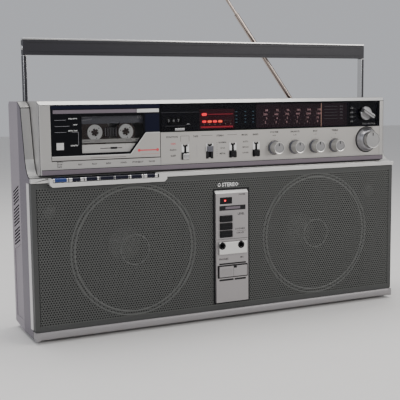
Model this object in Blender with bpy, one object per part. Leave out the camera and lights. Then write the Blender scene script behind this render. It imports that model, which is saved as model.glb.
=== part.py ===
"""Portable stereo radio with a cassette deck, built as one assembly of separate pieces.

Metres, +Z up. X runs left to right, Y from front to back, Z up from the table.
Positions are written on a design grid of 556 wide, 108 deep and 307 high, which
the overall sizes below stretch; round pieces keep their own named sizes.
"""

import math

import bmesh
import bpy
from mathutils import Matrix, Vector

# ------------------------------------------------------------------ overall sizes
BODY_W = 0.556
BODY_H = 0.307
BODY_D = 0.108
GRID_W = 556.0
GRID_H = 307.0
GRID_D = 108.0
FRONT_Y = -0.0487 * BODY_D / 0.108
MM = 0.001

# ------------------------------------------------------------------ clearances (grid units)
GAP = 0.3
WALL = 3.0
RUN = 0.4

# ------------------------------------------------------------------ named sizes (millimetres)
KNOB_R = 8.5
KNOB_RING_R = KNOB_R + 1.2
KNOB_LENGTH = 14.4
TUNING_SKIRT_R = 17.5
TUNING_CAP_R = 12.5
SHAFT_R = 2.6
TUNING_SHAFT_R = 3.2
BAND_DISC_R = 9.8
BAND_BAR_L = 22.0
BAND_BAR_W = 6.0
BAND_ANGLE = math.radians(150.0)
HUB_R = 10.2
HUB_HOLE_R = 5.0
SPINDLE_R = 3.0
SPINDLE_TIP_R = 1.5
FLYWHEEL_R = 24.0
MOTOR_R = 14.0
ARM_T = 4.5
ARM_D = 11.0
PIN_R = 2.0
ROD_LEAN = math.radians(36.8)
ROD_OUTER_R = 3.5
ROD_INNER_R = 2.3
ROD_OUTER_L = 165.0
ROD_TOTAL_L = 306.0
KEY_COUNT = 7
KEY_PITCH = 20.3
KEY_MID = -180.1
KEY_GAP = 0.9
KEY_PIN_R = 1.5
KEY_ROW = KEY_PITCH * KEY_COUNT
TRAY_SIDE = (4.85, 12.05)
JACK_R = 3.2
SEGS = 32

# ------------------------------------------------------------------ layout (grid units)
HALF = 278.0
TOP = 307.0
SEAM = 60.0
BACK = 108.0
BASE = 4.0
FACE = 15.0
RIM_Z = (205.5, 211.0)
UNIT_X = 265.0
UNIT_Z = (214.2, 307.0)
UNIT_Y = 7.0
DECK_X = (-248.8, -101.2)
DOOR_Z = (232.0, 301.5)
DOOR_HINGE = (8.5, 233.2)
STRIP_Z = (264.5, 301.7)
PANEL_X = (-100.4, 255.7)
PANEL_Z = (220.8, 264.1)
WINDOW = ((-210.0, 239.3), (-144.0, 239.3), (-123.5, 264.8), (-123.5, 288.5), (-210.0, 288.5))
HUBS = (("left", -188.9), ("right", -146.4))
HUB_Z = 266.2
CASSETTE_X = (-217.8, -117.4)
CASSETTE_Z = (234.0, 297.8)
CASSETTE_Y = (13.3, 24.7)
KNOBS = (("volume_knob", 73.5), ("balance_knob", 107.7), ("bass_knob", 141.9), ("treble_knob", 176.0))
KNOB_Z = 238.0
TUNING = (231.7, 244.8)
BAND = (230.0, 283.5)
SLIDERS = (
    ("function_switch", -65.0, 231.0),
    ("tape_switch", -28.4, 240.0),
    ("stereo_switch", 7.3, 231.4),
    ("tuner_switch", 44.0, 231.4),
)
SLIDER_Z = (228.0, 246.0)
POINTER_X = 154.5
KEY_HINGE = (50.0, 208.0)
KEY_NAMES = (
    "key_record",
    "key_play",
    "key_rewind",
    "key_fast_forward",
    "key_stop",
    "key_eject",
    "key_pause",
)
COLUMN_X = (-23.5, 26.5)
COLUMN_Z = (26.0, 182.4)
BUTTONS = (("mode_button_top", 138.9, 147.5), ("mode_button_mid", 127.9, 137.2), ("mode_button_low", 117.3, 126.5))
BUTTON_X = (-17.4, 1.1)
WIDE_X = (-19.8, 23.2)
WIDE_Z = (62.0, 76.6)
JACKS_X = (-15.6, 13.5)
JACK_Z = (94.0, 111.0)
WOOFER_X = 141.0
WOOFER_Z = 112.0
TWEETER_X = 249.5
TWEETER_Z = 165.0
KEY_X = (KEY_MID - KEY_ROW / 2, KEY_MID + KEY_ROW / 2)
TRAY_X = (KEY_X[0] - TRAY_SIDE[0], KEY_X[1] + TRAY_SIDE[1])
KEY_GATE_X = (KEY_X[0] - 0.85, KEY_X[1] + 1.05)
WOOFER_R = 83.0 * min(BODY_H / 0.307, BODY_W / 0.556)
TWEETER_R = 22.0 * min(BODY_H / 0.307, BODY_W / 0.556)
HANDLE_PIVOT = (68.0, 296.0)
HANDLE_X = 266.8
HANDLE_Z = (366.5, 388.0)
ANTENNA = (162.0, 100.0, 299.0)
BAY_X = 130.0
BAY_Z = (13.5, 88.0)
BAY_Y = (68.0, 104.6)
HATCH_X = BAY_X - 2.4
HATCH_Z = (BAY_Z[0] + 2.8, BAY_Z[1] - 1.4)
HATCH_HINGE = (107.0, HATCH_Z[0] + 0.9)
INLET = (205.0, 76.0)


def lx(value):
    """Grid units across the front, in metres."""
    return value * BODY_W / GRID_W


def ly(value):
    """Grid units behind the front rim, in metres."""
    return FRONT_Y + value * BODY_D / GRID_D


def lz(value):
    """Grid units above the table, in metres."""
    return value * BODY_H / GRID_H


def across(millimetres):
    """A real width as grid units across the front."""
    return millimetres * MM * GRID_W / BODY_W


def upright(millimetres):
    """A real height as grid units above the table."""
    return millimetres * MM * GRID_H / BODY_H


# ------------------------------------------------------------------ scene and helpers
for old in list(bpy.data.objects):
    bpy.data.objects.remove(old)

PARTS = bpy.data.collections.new("cassette_radio")
CUTTERS = bpy.data.collections.new("cutters")
bpy.context.scene.collection.children.link(PARTS)
bpy.context.scene.collection.children.link(CUTTERS)


def add_object(name, bm):
    """Turns a bmesh into an object of the cutters collection, with its faces out."""
    bmesh.ops.recalc_face_normals(bm, faces=bm.faces)
    mesh = bpy.data.meshes.new(name)
    bm.to_mesh(mesh)
    bm.free()
    obj = bpy.data.objects.new(name, mesh)
    CUTTERS.objects.link(obj)
    obj.hide_render = True
    obj.display_type = "WIRE"
    return obj


def prism(name, outline, low, high, place):
    """Extrudes a closed outline from low to high; place turns (u, v, w) into a point."""
    bm = bmesh.new()
    bottom = [bm.verts.new(place(u, v, low)) for u, v in outline]
    face = bm.faces.new(bottom)
    grown = bmesh.ops.extrude_face_region(bm, geom=[face])
    shift = Vector(place(0.0, 0.0, high)) - Vector(place(0.0, 0.0, low))
    moved = [v for v in grown["geom"] if isinstance(v, bmesh.types.BMVert)]
    bmesh.ops.translate(bm, verts=moved, vec=shift)
    return add_object(name, bm)


def prism_x(name, outline, x0, x1):
    """Outline of (depth, height) pairs, run across from x0 to x1."""
    return prism(name, outline, x0, x1, lambda d, z, x: (lx(x), ly(d), lz(z)))


def prism_y(name, outline, d0, d1):
    """Outline of (across, height) pairs, run back from d0 to d1."""
    return prism(name, outline, d0, d1, lambda x, z, d: (lx(x), ly(d), lz(z)))


def prism_z(name, outline, z0, z1):
    """Outline of (across, depth) pairs, run up from z0 to z1."""
    return prism(name, outline, z0, z1, lambda x, d, z: (lx(x), ly(d), lz(z)))


def box(name, xs, ds, zs):
    """A box between two grid positions each way."""
    return prism_y(name, [(xs[0], zs[0]), (xs[1], zs[0]), (xs[1], zs[1]), (xs[0], zs[1])], ds[0], ds[1])


def spun(name, profile, closed, matrix, segs=SEGS):
    """Turns a profile of (radius, station) pairs in metres about Z, then places it."""
    bm = bmesh.new()
    verts = [bm.verts.new((radius, 0.0, station)) for radius, station in profile]
    edges = [bm.edges.new(pair) for pair in zip(verts, verts[1:])]
    if closed:
        edges.append(bm.edges.new((verts[-1], verts[0])))
    bmesh.ops.spin(
        bm, geom=verts + edges, cent=(0, 0, 0), axis=(0, 0, 1), angle=math.tau, steps=segs, use_merge=True
    )
    bmesh.ops.remove_doubles(bm, verts=bm.verts, dist=1e-7)
    bmesh.ops.transform(bm, matrix=matrix, verts=bm.verts)
    return add_object(name, bm)


def turned(name, x, z, profile, closed=False, segs=SEGS):
    """A piece turned about a front-to-back axis; stations are grid depths."""
    placed = [(radius * MM, ly(d)) for radius, d in profile]
    back = Matrix(((1, 0, 0, lx(x)), (0, 0, 1, 0), (0, 1, 0, lz(z)), (0, 0, 0, 1)))
    return spun(name, placed, closed, back, segs)


def disc(name, x, z, radius, d0, d1, segs=SEGS):
    """A plain cylinder about a front-to-back axis."""
    return turned(name, x, z, [(0, d0), (radius, d0), (radius, d1), (0, d1)], segs=segs)


def pin_x(name, d, z, radius, x0, x1, segs=20):
    """A plain cylinder about a left-to-right axis."""
    profile = [(0, lx(x0)), (radius * MM, lx(x0)), (radius * MM, lx(x1)), (0, lx(x1))]
    across = Matrix(((0, 0, 1, 0), (1, 0, 0, ly(d)), (0, 1, 0, lz(z)), (0, 0, 0, 1)))
    return spun(name, profile, False, across, segs)


def apply_tool(target, tool, operation):
    """Adds one exact Boolean to target."""
    change = target.modifiers.new(tool.name, "BOOLEAN")
    change.operation = operation
    change.solver = "EXACT"
    change.object = tool


def cut(target, *tools):
    """Takes each tool away from target."""
    for tool in tools:
        apply_tool(target, tool, "DIFFERENCE")


def join(target, *tools):
    """Adds each tool to target."""
    for tool in tools:
        apply_tool(target, tool, "UNION")


def finish(obj, colour, roughness=0.5, metallic=0.0, alpha=1.0):
    """Names the piece's own material and shows it in the parts collection."""
    material = bpy.data.materials.new(obj.name + "_finish")
    material.use_nodes = True
    shader = material.node_tree.nodes["Principled BSDF"]
    shader.inputs["Base Color"].default_value = (*colour, 1.0)
    shader.inputs["Roughness"].default_value = roughness
    shader.inputs["Metallic"].default_value = metallic
    shader.inputs["Alpha"].default_value = alpha
    material.diffuse_color = (*colour, alpha)
    obj.data.materials.append(material)
    CUTTERS.objects.unlink(obj)
    PARTS.objects.link(obj)
    obj.hide_render = False
    obj.display_type = "TEXTURED"
    return obj


def hinge_at(obj, point, parent=None):
    """Puts the piece's origin on its joint axis, and hangs it on the piece that carries it."""
    move = Vector(point)
    obj.data.transform(Matrix.Translation(-move))
    obj.location = move
    if parent is not None:
        obj.parent = parent
        obj.matrix_parent_inverse = Matrix.Translation(-parent.location)
    return obj


# ------------------------------------------------------------------ colours
SILVER = (0.52, 0.52, 0.54)
DARK_SIDE = (0.16, 0.15, 0.18)
REAR_SIDE = (0.22, 0.21, 0.25)
BLACK = (0.02, 0.02, 0.025)
NAVY = (0.03, 0.04, 0.09)
STEEL = (0.6, 0.6, 0.62)
CLEAR = (0.5, 0.5, 0.55)


def grown(outline, amount):
    """Moves each side of a convex outline outwards by amount."""
    count = len(outline)
    area = sum(outline[i][0] * outline[(i + 1) % count][1] - outline[(i + 1) % count][0] * outline[i][1] for i in range(count))
    turn = 1.0 if area > 0 else -1.0
    lines = []
    for i in range(count):
        (x0, z0), (x1, z1) = outline[i], outline[(i + 1) % count]
        length = math.hypot(x1 - x0, z1 - z0)
        nx, nz = turn * (z1 - z0) / length, -turn * (x1 - x0) / length
        lines.append((nx, nz, nx * x0 + nz * z0 + amount))
    result = []
    for i in range(count):
        a0, b0, c0 = lines[i - 1]
        a1, b1, c1 = lines[i]
        det = a0 * b1 - a1 * b0
        result.append(((c0 * b1 - c1 * b0) / det, (a0 * c1 - a1 * c0) / det))
    return result


# ------------------------------------------------------------------ cabinets
def front_cabinet():
    """Front half of the case: baffle, ledge and the two leaning cheeks."""
    ledge = [(8.3, 211.5), (14.0, 212.6), (20.0, 216.6), (25.5, 223.6), (29.6, 234.0)]
    outer = [(SEAM, BASE), (FACE, BASE), (FACE, 205.0), (8.3, 205.0), *ledge, (44.0, 299.0), (47.0, 301.0), (SEAM, TOP)]
    inner = [(SEAM + 1, 7.0), (18.0, 7.0), (18.0, 209.5), (21.7, 213.2), (28.1, 222.0), (32.6, 233.1)]
    inner += [(47.0, 297.2), (48.7, 298.4), (SEAM + 1, 304.0)]
    case = prism_x("front_cabinet", outer, -HALF, HALF)
    cut(case, prism_x("front_hollow", inner, -HALF + WALL, HALF - WALL))
    unit = UNIT_X + GAP
    cut(case, box("front_unit_bay", (-unit, unit), (-5, SEAM + 2), (UNIT_Z[0] - GAP, TOP + 5)))
    for side in (-1, 1):
        wedge = [(side * 277.2, FACE - 1), (side * 280.0, FACE - 1), (side * 280.0, 27.0), (side * 278.1, 27.0)]
        cut(case, prism_z("front_edge_wedge", wedge, 15.5, 204.4))
        cut(case, disc("woofer_hole", side * WOOFER_X, WOOFER_Z, WOOFER_R - 3, FACE - 1, 19, 48))
        cut(case, disc("tweeter_hole", side * TWEETER_X, TWEETER_Z, TWEETER_R - 3, FACE - 1, 19, 24))
        join(case, box("front_foot", (side * 214.0, side * 244.0), (24, 44), (0, BASE + 1.5)))
    cut(case, box("key_gate", KEY_GATE_X, (7, 19), (202.5, 211.7)))
    left, right = KEY_GATE_X
    join(case, box("key_bracket_left", (left - 5, left - 1.5), (16.5, 54), (201, 209)))
    join(case, box("key_bracket_right", (right + 1.5, right + 5), (16.5, 54), (201, 209)))
    join(case, pin_x("key_rod", KEY_HINGE[0], KEY_HINGE[1] - 1.2, KEY_PIN_R, left - 3, right + 3))
    return finish(case, DARK_SIDE)


def rear_cabinet():
    """Back half of the case, with handle slots, an antenna channel and the battery opening."""
    start = SEAM + GAP
    outer = [(start, BASE), (start, TOP), (104.0, TOP), (BACK, 303.0), (BACK, 8.5)]
    inner = [(start - 1, 7.0), (start - 1, 304.0), (103.5, 304.0), (105.0, 302.0), (105.0, 11.4)]
    case = prism_x("rear_cabinet", outer, -HALF, HALF)
    cut(case, prism_x("rear_hollow", inner, -HALF + WALL, HALF - WALL))
    x_mid = HANDLE_X - ARM_T / 2
    slot = ARM_T / 2 + 1.75
    slot_front = HANDLE_PIVOT[0] - ARM_D / 2 - 0.5
    for side in (-1, 1):
        name = "left" if side < 0 else "right"
        join(case, box("slot_liner_" + name, (side * (x_mid - slot - 3), side * (x_mid + slot + 3)), (start + 0.2, 107.5), (285, 306.5)))
        cut(case, box("slot_" + name, (side * (x_mid - slot), side * (x_mid + slot)), (slot_front, 110), (288, 310)))
        cut(case, pin_x("slot_pin_" + name, *HANDLE_PIVOT, PIN_R + RUN, side * (x_mid - slot - 5), side * (x_mid + slot + 5)))
        join(case, box("rear_foot_" + name, (side * 214.0, side * 244.0), (82, 100), (0, 10)))
    join(case, box("channel_liner", (-163, 178), (89, 107.5), (282, 306.5)))
    cut(case, box("channel", (-160, 175), (92, 110), (285, 310)))
    cut(case, box("hatch_hole", (-HATCH_X - GAP, HATCH_X + GAP), (104, 110), (HATCH_Z[0] - 0.7, HATCH_Z[1] + GAP)))
    cut(case, box("inlet_hole", (INLET[0] - 14.3, INLET[0] + 14.3), (104, 110), (INLET[1] - 9.3, INLET[1] + 9.3)))
    return finish(case, REAR_SIDE)


def speaker_grille():
    """Pressed steel sheet over the loudspeakers, folded back round its edge."""
    pan = box("speaker_grille", (-277.6, 277.6), (3, FACE - GAP), (15.5, 204.9))
    cut(pan, box("grille_hollow", (-276.2, 276.2), (4.3, FACE + 1), (16.9, 203.5)))
    cut(pan, box("grille_tray_notch", (TRAY_X[0] - 0.4, TRAY_X[1] + 0.4), (1, FACE + 1), (199.6, 207)))
    cut(pan, box("grille_column_hole", (COLUMN_X[0] - GAP, COLUMN_X[1] + GAP), (1, 9), (COLUMN_Z[0] - GAP, COLUMN_Z[1] + GAP)))
    return finish(pan, (0.05, 0.05, 0.05), 0.6)


def ledge_rim():
    """Bright moulding under the control unit, dipping to carry the key tray."""
    left, right = TRAY_X
    dip = [(left, 203.5), (left + 3.5, 200), (right - 3.5, 200), (right, 203.5)]
    bar = [(-HALF, 205.5), (left, 205.5), *dip, (right, 205.5), (HALF, 205.5), (HALF, 211), (-HALF, 211)]
    rim = prism_y("ledge_rim", bar, 0, 8)
    join(rim, prism_y("tray_front", [(left, 210.6), *dip, (right, 210.6)], -5.5, 3))
    low, high = KEY_X[0] - 0.3, KEY_X[1] + 0.3
    cut(rim, box("key_well", (low, high), (-4.0, 9), (202.0, 213)))
    cut(rim, box("tray_lip", (low, high), (-7, -3.8), (205.4, 213)))
    return finish(rim, SILVER, 0.35, 0.5)


def bottom_trim():
    """Bright strip along the foot of the front."""
    profile = [(14.7, 4.2), (4.0, 4.2), (1.0, 5.6), (0.2, 8.0), (0.2, 12.6), (1.6, 15.0), (14.7, 15.0)]
    return finish(prism_x("bottom_trim", profile, -277.5, 277.5), SILVER, 0.35, 0.5)


# ------------------------------------------------------------------ control unit
def control_housing():
    """Box that carries the deck and the radio, with one opening for both."""
    x, d = UNIT_X, UNIT_Y
    outline = [(x, SEAM), (-x, SEAM)]
    outline += [(-x, d + 4), (-x + 1.2, d + 1.2), (-x + 4, d), (x - 4, d), (x - 1.2, d + 1.2), (x, d + 4)]
    unit = prism_z("control_housing", outline, *UNIT_Z)
    cut(unit, prism_x("unit_top_edge", [(d - 2, 300.0), (d - 2, 309), (d + 7, 309)], -x - 2, x + 2))
    cut(unit, box("unit_hollow", (-x + WALL, x - WALL), (d + WALL, SEAM + 1), (219.5, 303.5)))
    cut(unit, box("unit_underside", (-x + WALL, x - WALL), (13, SEAM + 1), (212, 217)))
    cut(unit, box("deck_opening", (-249.3, -100.2), (5, 11), (231.0, 302)))
    cut(unit, box("radio_opening", (-100.9, 256.0), (5, 11), (220.5, 302)))
    join(unit, box("unit_divider", (-101.0, -99.0), (10.6, 56), (218.5, 305)))
    return finish(unit, SILVER, 0.4, 0.3)


def control_panel():
    """Front plate of the radio with its slots and shaft holes."""
    plate = box("control_panel", PANEL_X, (UNIT_Y + 0.1, UNIT_Y + 2.4), PANEL_Z)
    for name, x, _ in SLIDERS:
        cut(plate, box(name + "_slot", (x - 1.8, x + 1.8), (5, 11), SLIDER_Z))
    for name, x in KNOBS:
        cut(plate, disc(name + "_hole", x, KNOB_Z, SHAFT_R + RUN, 5, 11, 20))
    cut(plate, disc("tuning_hole", *TUNING, TUNING_SHAFT_R + RUN, 5, 11, 20))
    return finish(plate, SILVER, 0.4, 0.3)


def dial_window():
    """Clear strip in front of the dial, the counter and the lamps."""
    pane = box("dial_window", (PANEL_X[0] + 0.1, PANEL_X[1]), (UNIT_Y, UNIT_Y + 1.6), STRIP_Z)
    cut(pane, disc("window_band_hole", *BAND, SHAFT_R + 0.8, 5, 11, 20))
    cut(pane, box("window_reset_hole", (-80.6, -65.9), (5, 11), (265.3, 269.3)))
    return finish(pane, CLEAR, 0.05, 0.0, 0.3)


def dial_scale():
    """Printed dial plate behind the window."""
    plate = box("dial_scale", (-98.7, 255.4), (12, 13.4), (264.9, 300.9))
    cut(plate, disc("scale_band_hole", *BAND, SHAFT_R + 0.8, 11, 15, 20))
    cut(plate, box("scale_reset_hole", (-80.6, -65.9), (11, 15), (265.8, 269.3)))
    cut(plate, box("scale_counter_hole", (-89.6, -66.0), (11, 15), (274.6, 284.0)))
    return finish(plate, BLACK)


def dial_pointer():
    """Needle hooked over the dial plate, with its carriage behind."""
    needle = box("dial_pointer", (POINTER_X - 0.6, POINTER_X + 0.6), (10.3, 11.4), (265.6, 302.6))
    join(needle, box("pointer_hook", (POINTER_X - 0.5, POINTER_X + 0.5), (10.5, 15.0), (301.4, 302.5)))
    join(needle, box("pointer_carriage", (POINTER_X - 5, POINTER_X + 5), (14.2, 15.6), (296, 302.3)))
    return hinge_at(finish(needle, (0.7, 0.1, 0.05)), (lx(POINTER_X), ly(12), lz(302)))


def tuning_knob():
    """Two-step knob on its shaft, with the cord pulley behind the panel."""
    s, c = TUNING_SKIRT_R, TUNING_CAP_R
    profile = [(0, -10.6), (c - 1, -10.6), (c, -9.8), (c, -4.2), (c - 1, -4.2), (c - 1, -3.2), (s * 0.77, -3.2)]
    profile += [(s, 5.6), (s, 6.8), (TUNING_SHAFT_R, 6.8), (TUNING_SHAFT_R, 14.6)]
    profile += [(10.2, 14.6), (10.2, 17.2), (TUNING_SHAFT_R, 17.2), (TUNING_SHAFT_R, 20), (0, 20)]
    knob = turned("tuning_knob", *TUNING, profile, segs=40)
    cut(knob, box("tuning_mark", (TUNING[0] - 0.6, TUNING[0] + 0.6), (-12, -9.9), (TUNING[1] + 5, TUNING[1] + 14)))
    return hinge_at(finish(knob, STEEL, 0.3, 0.7), (lx(TUNING[0]), ly(0), lz(TUNING[1])))


def small_knob(name, x):
    """One small turning control with its base ring and shaft."""
    tip = 6.8 - KNOB_LENGTH
    profile = [(0, tip), (KNOB_R - 0.9, tip), (KNOB_R, tip + 0.9), (KNOB_R, 5.0), (KNOB_RING_R, 5.2), (KNOB_RING_R, 6.8)]
    profile += [(SHAFT_R, 6.8), (SHAFT_R, 15.0), (0, 15.0)]
    knob = turned(name, x, KNOB_Z, profile)
    cut(knob, box(name + "_mark", (x - 0.5, x + 0.5), (tip - 1, tip + 0.6), (KNOB_Z + 2.5, KNOB_Z + 10)))
    return hinge_at(finish(knob, STEEL, 0.3, 0.6), (lx(x), ly(0), lz(KNOB_Z)))


def slide_switch(name, x, z):
    """Lever of a slide switch, held by a foot behind the panel."""
    lever = box(name, (x - 4.4, x + 4.4), (2.6, UNIT_Y - GAP), (z - 3.8, z + 3.8))
    join(lever, box(name + "_stem", (x - 1.3, x + 1.3), (6, 10.6), (z - 2.4, z + 2.4)))
    join(lever, box(name + "_foot", (x - 3.4, x + 3.4), (9.9, 11.3), (z - 2.8, z + 2.8)))
    return hinge_at(finish(lever, SILVER), (lx(x), ly(UNIT_Y), lz(z)))


def band_selector():
    """Turning selector with a raised bar."""
    knob = turned("band_selector", *BAND, [(0, 4.4), (BAND_DISC_R, 4.4), (BAND_DISC_R, 6.6), (SHAFT_R, 6.6), (SHAFT_R, 19), (0, 19)])
    along, over = math.cos(BAND_ANGLE), math.sin(BAND_ANGLE)
    half_l, half_w = BAND_BAR_L / 2, BAND_BAR_W / 2
    corners = [(half_l, -half_w + 1.5), (half_l, half_w - 1.5), (half_l - 1.5, half_w), (-half_l + 1.5, half_w)]
    corners += [(-half_l, half_w - 1.5), (-half_l, -half_w + 1.5), (-half_l + 1.5, -half_w), (half_l - 1.5, -half_w)]
    outline = [(BAND[0] + a * along - b * over, BAND[1] + a * over + b * along) for a, b in corners]
    join(knob, prism_y("band_bar", outline, -4.0, 5.0))
    return hinge_at(finish(knob, (0.45, 0.45, 0.47)), (lx(BAND[0]), ly(0), lz(BAND[1])))


def tape_counter():
    """Three-digit counter with its drums behind the dial plate."""
    frame = box("tape_counter", (-92, -64), (13.8, 26), (271.5, 286.5))
    cut(frame, box("counter_well", (-89.2, -66.4), (12, 23), (273.4, 284.6)))
    for x in (-84.9, -77.8, -70.7):
        join(frame, pin_x("counter_drum", 20.3, 279.0, 5.2, x - 3.0, x + 3.0, 20))
    join(frame, pin_x("counter_axle", 20.3, 279.0, 1.2, -90.5, -65.0, 12))
    return finish(frame, BLACK)


def counter_reset_button():
    """Small bar that zeroes the counter."""
    bar = box("counter_reset_button", (-80.3, -66.2), (5.0, 20), (266.1, 269.0))
    return hinge_at(finish(bar, SILVER), (lx(-73.2), ly(5), lz(267.5)))


# ------------------------------------------------------------------ cassette deck
def cassette_door():
    """Deck lid with its window opening and the carrier that holds the cassette."""
    door = box("cassette_door", DECK_X, (UNIT_Y, UNIT_Y + 3), DOOR_Z)
    cut(door, prism_y("door_window", list(WINDOW), 5, 12))
    left, right = CASSETTE_X
    join(door, box("carrier_left", (left - 3.2, left - GAP), (9, 26), (232.4, 262)))
    join(door, box("carrier_right", (right + GAP, right + 3.2), (9, 26), (232.4, 262)))
    join(door, box("carrier_floor", (left - 1.5, right + 1.5), (9, 26), (232.2, CASSETTE_Z[0] - GAP)))
    return hinge_at(finish(door, SILVER), (0, ly(DOOR_HINGE[0]), lz(DOOR_HINGE[1])))


def cassette_window(door):
    """Clear pane set in the lid."""
    pane = prism_y("cassette_window", grown(list(WINDOW), -GAP), UNIT_Y + 0.2, UNIT_Y + 2.6)
    return hinge_at(finish(pane, CLEAR, 0.05, 0.0, 0.3), door.location, door)


def cassette_shell(door):
    """Cassette body with its two reel openings and the thicker head edge."""
    shell = box("cassette_shell", CASSETTE_X, CASSETTE_Y, CASSETTE_Z)
    bulge = [(-200.6, 234.3), (-134.6, 234.3), (-137.0, 244.6), (-198.2, 244.6)]
    join(shell, prism_y("cassette_bulge", bulge, 12.4, 25.6))
    for name, x in HUBS:
        cut(shell, disc("cassette_hole_" + name, x, HUB_Z, HUB_R + 0.5, 10, 28))
    return hinge_at(finish(shell, (0.1, 0.1, 0.12)), door.location, door)


def reel(side, x, door):
    """Toothed hub that carries the tape."""
    ring = turned("reel_" + side, x, HUB_Z, [(HUB_HOLE_R, 14.2), (HUB_R, 14.2), (HUB_R, 23.8), (HUB_HOLE_R, 23.8)], True)
    for step in range(6):
        turn = math.radians(60 * step + 15)
        along, over = math.cos(turn), math.sin(turn)
        corners = [(3.9, -0.5), (3.9, 0.5), (6.0, 0.8), (6.0, -0.8)]
        outline = [(x + a * along - b * over, HUB_Z + a * over + b * along) for a, b in corners]
        join(ring, prism_y("reel_tooth", outline, 14.6, 23.4))
    return hinge_at(finish(ring, (0.7, 0.7, 0.7)), (lx(x), ly(19), lz(HUB_Z)), door)


def capstan():
    """Where the capstan stands, its flywheel just above the floor of the control unit."""
    return -204.0, 219.5 + upright(FLYWHEEL_R + 2.5)


def deck_plate():
    """Steel chassis of the deck."""
    plate = box("deck_plate", (-261.7, -101.3), (34, 35.6), (219.8, 303.2))
    for name, x in HUBS:
        cut(plate, disc("plate_hole_" + name, x, HUB_Z, 2.2 + RUN, 30, 40, 16))
    cut(plate, disc("capstan_hole", *capstan(), 1.5 + RUN, 30, 40, 16))
    cut(plate, box("head_gate", (-176, -159), (33, 37), (237, 247)))
    return finish(plate, STEEL, 0.4, 0.9)


def spindle(side, x):
    """Drive spindle with its table and pulley."""
    profile = [(0, 20.0), (SPINDLE_TIP_R, 20.0), (SPINDLE_R, 25.0), (SPINDLE_R, 29.5), (9.0, 29.5), (9.0, 32.6)]
    profile += [(2.2, 33.4), (2.2, 36.4), (11.0, 36.4), (11.0, 39.4), (0, 39.4)]
    return hinge_at(finish(turned("spindle_" + side, x, HUB_Z, profile, segs=24), (0.6, 0.6, 0.6)), (lx(x), ly(30), lz(HUB_Z)))


def head_block():
    """Sliding carriage with the erase head, the play head and their bracket."""
    base = box("head_block", (-196, -139), (31.4, 33.6), (238, 249))
    join(base, box("play_head", (-174, -161), (27.4, 32), (239, 248)))
    join(base, box("erase_head", (-192, -183), (27.8, 32), (240, 247.4)))
    join(base, box("head_guide", (-172, -163), (33, 37.4), (239, 243)))
    return hinge_at(finish(base, STEEL, 0.3, 0.8), (lx(-167.6), ly(32), lz(243)))


def capstan_flywheel():
    """Heavy flywheel with the capstan on its front."""
    profile = [(0, 27.6), (1.5, 27.6), (1.5, 40.6), (6, 40.6), (6, 42.0), (FLYWHEEL_R, 42.0), (FLYWHEEL_R, 47.4)]
    profile += [(1.5, 47.4), (1.5, 52), (0, 52)]
    x, z = capstan()
    wheel = turned("capstan_flywheel", x, z, profile, segs=36)
    return hinge_at(finish(wheel, STEEL, 0.3, 0.9), (lx(x), ly(40), lz(z)))


def deck_motor():
    """Can motor behind the deck plate."""
    profile = [(0, 35.9), (MOTOR_R, 35.9), (MOTOR_R, 56), (3, 56.4), (3, 62), (0, 62)]
    x, z = -101.0 - across(MOTOR_R + 7.0), 219.5 + upright(MOTOR_R + 4.5)
    motor = turned("deck_motor", x, z, profile, segs=28)
    return finish(motor, STEEL, 0.35, 0.8)


def key(name, index):
    """One piano key on the shared rod."""
    x = KEY_MID + (index - (KEY_COUNT - 1) / 2) * KEY_PITCH
    half = (KEY_PITCH - KEY_GAP) / 2
    cap = [(-3.5, 206.0), (-3.5, 210.0), (-2.4, 211.0), (7.0, 211.0), (9.5, 209.4), (9.5, 206.0)]
    piece = prism_x(name, cap, x - half, x + half)
    join(piece, box(name + "_lever", (x - 2.2, x + 2.2), (8.5, 52), (206.4, 209.2)))
    d, z = KEY_HINGE[0], KEY_HINGE[1] - 1.2
    join(piece, pin_x(name + "_hub", d, z, KEY_PIN_R + 2.4, x - 3, x + 3))
    cut(piece, pin_x(name + "_bore", d, z, KEY_PIN_R + RUN, x - 5, x + 5))
    return hinge_at(finish(piece, NAVY, 0.25), (lx(x), ly(d), lz(z)))


# ------------------------------------------------------------------ centre column
def centre_panel():
    """Raised column between the loudspeakers."""
    x0, x1 = COLUMN_X
    z0, z1 = COLUMN_Z
    shape = [(14.6, z0), (-1, z0), (-1, z1 - 4), (3, z1), (14.6, z1)]
    panel = prism_x("centre_panel", shape, x0, x1)
    cut(panel, box("column_hollow", (x0 + 2, x1 - 2), (1.4, 16), (z0 + 2, z1 - 6)))
    for name, low, high in BUTTONS:
        cut(panel, box(name + "_hole", (BUTTON_X[0] - GAP, BUTTON_X[1] + GAP), (-3, 3), (low - GAP, high + GAP)))
    cut(panel, box("wide_hole", (WIDE_X[0] - GAP, WIDE_X[1] + GAP), (-3, 3), (WIDE_Z[0] - GAP, WIDE_Z[1] + GAP)))
    cut(panel, box("jack_hole", (-20.3, 23.3), (-3, 3), (JACK_Z[0] - GAP, JACK_Z[1] + GAP)))
    return finish(panel, SILVER, 0.4, 0.3)


def push_button(name, xs, low, high, front):
    """Push button with a stop flange behind the column's face."""
    button = box(name, xs, (front, 9), (low, high))
    join(button, box(name + "_flange", (xs[0] - 0.6, xs[1] + 0.6), (1.8, 3.0), (low - 0.6, high + 0.6)))
    return hinge_at(finish(button, BLACK), (lx((xs[0] + xs[1]) / 2), ly(0), lz((low + high) / 2)))


def jack_block():
    """Two sockets in a block that stands out of the column."""
    block = box("jack_block", (-20.0, 23.0), (-4.6, 13.6), JACK_Z)
    for x in JACKS_X:
        cut(block, disc("jack_bore", x, 106.0, JACK_R, -6, 11, 20))
    return finish(block, BLACK)


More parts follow.
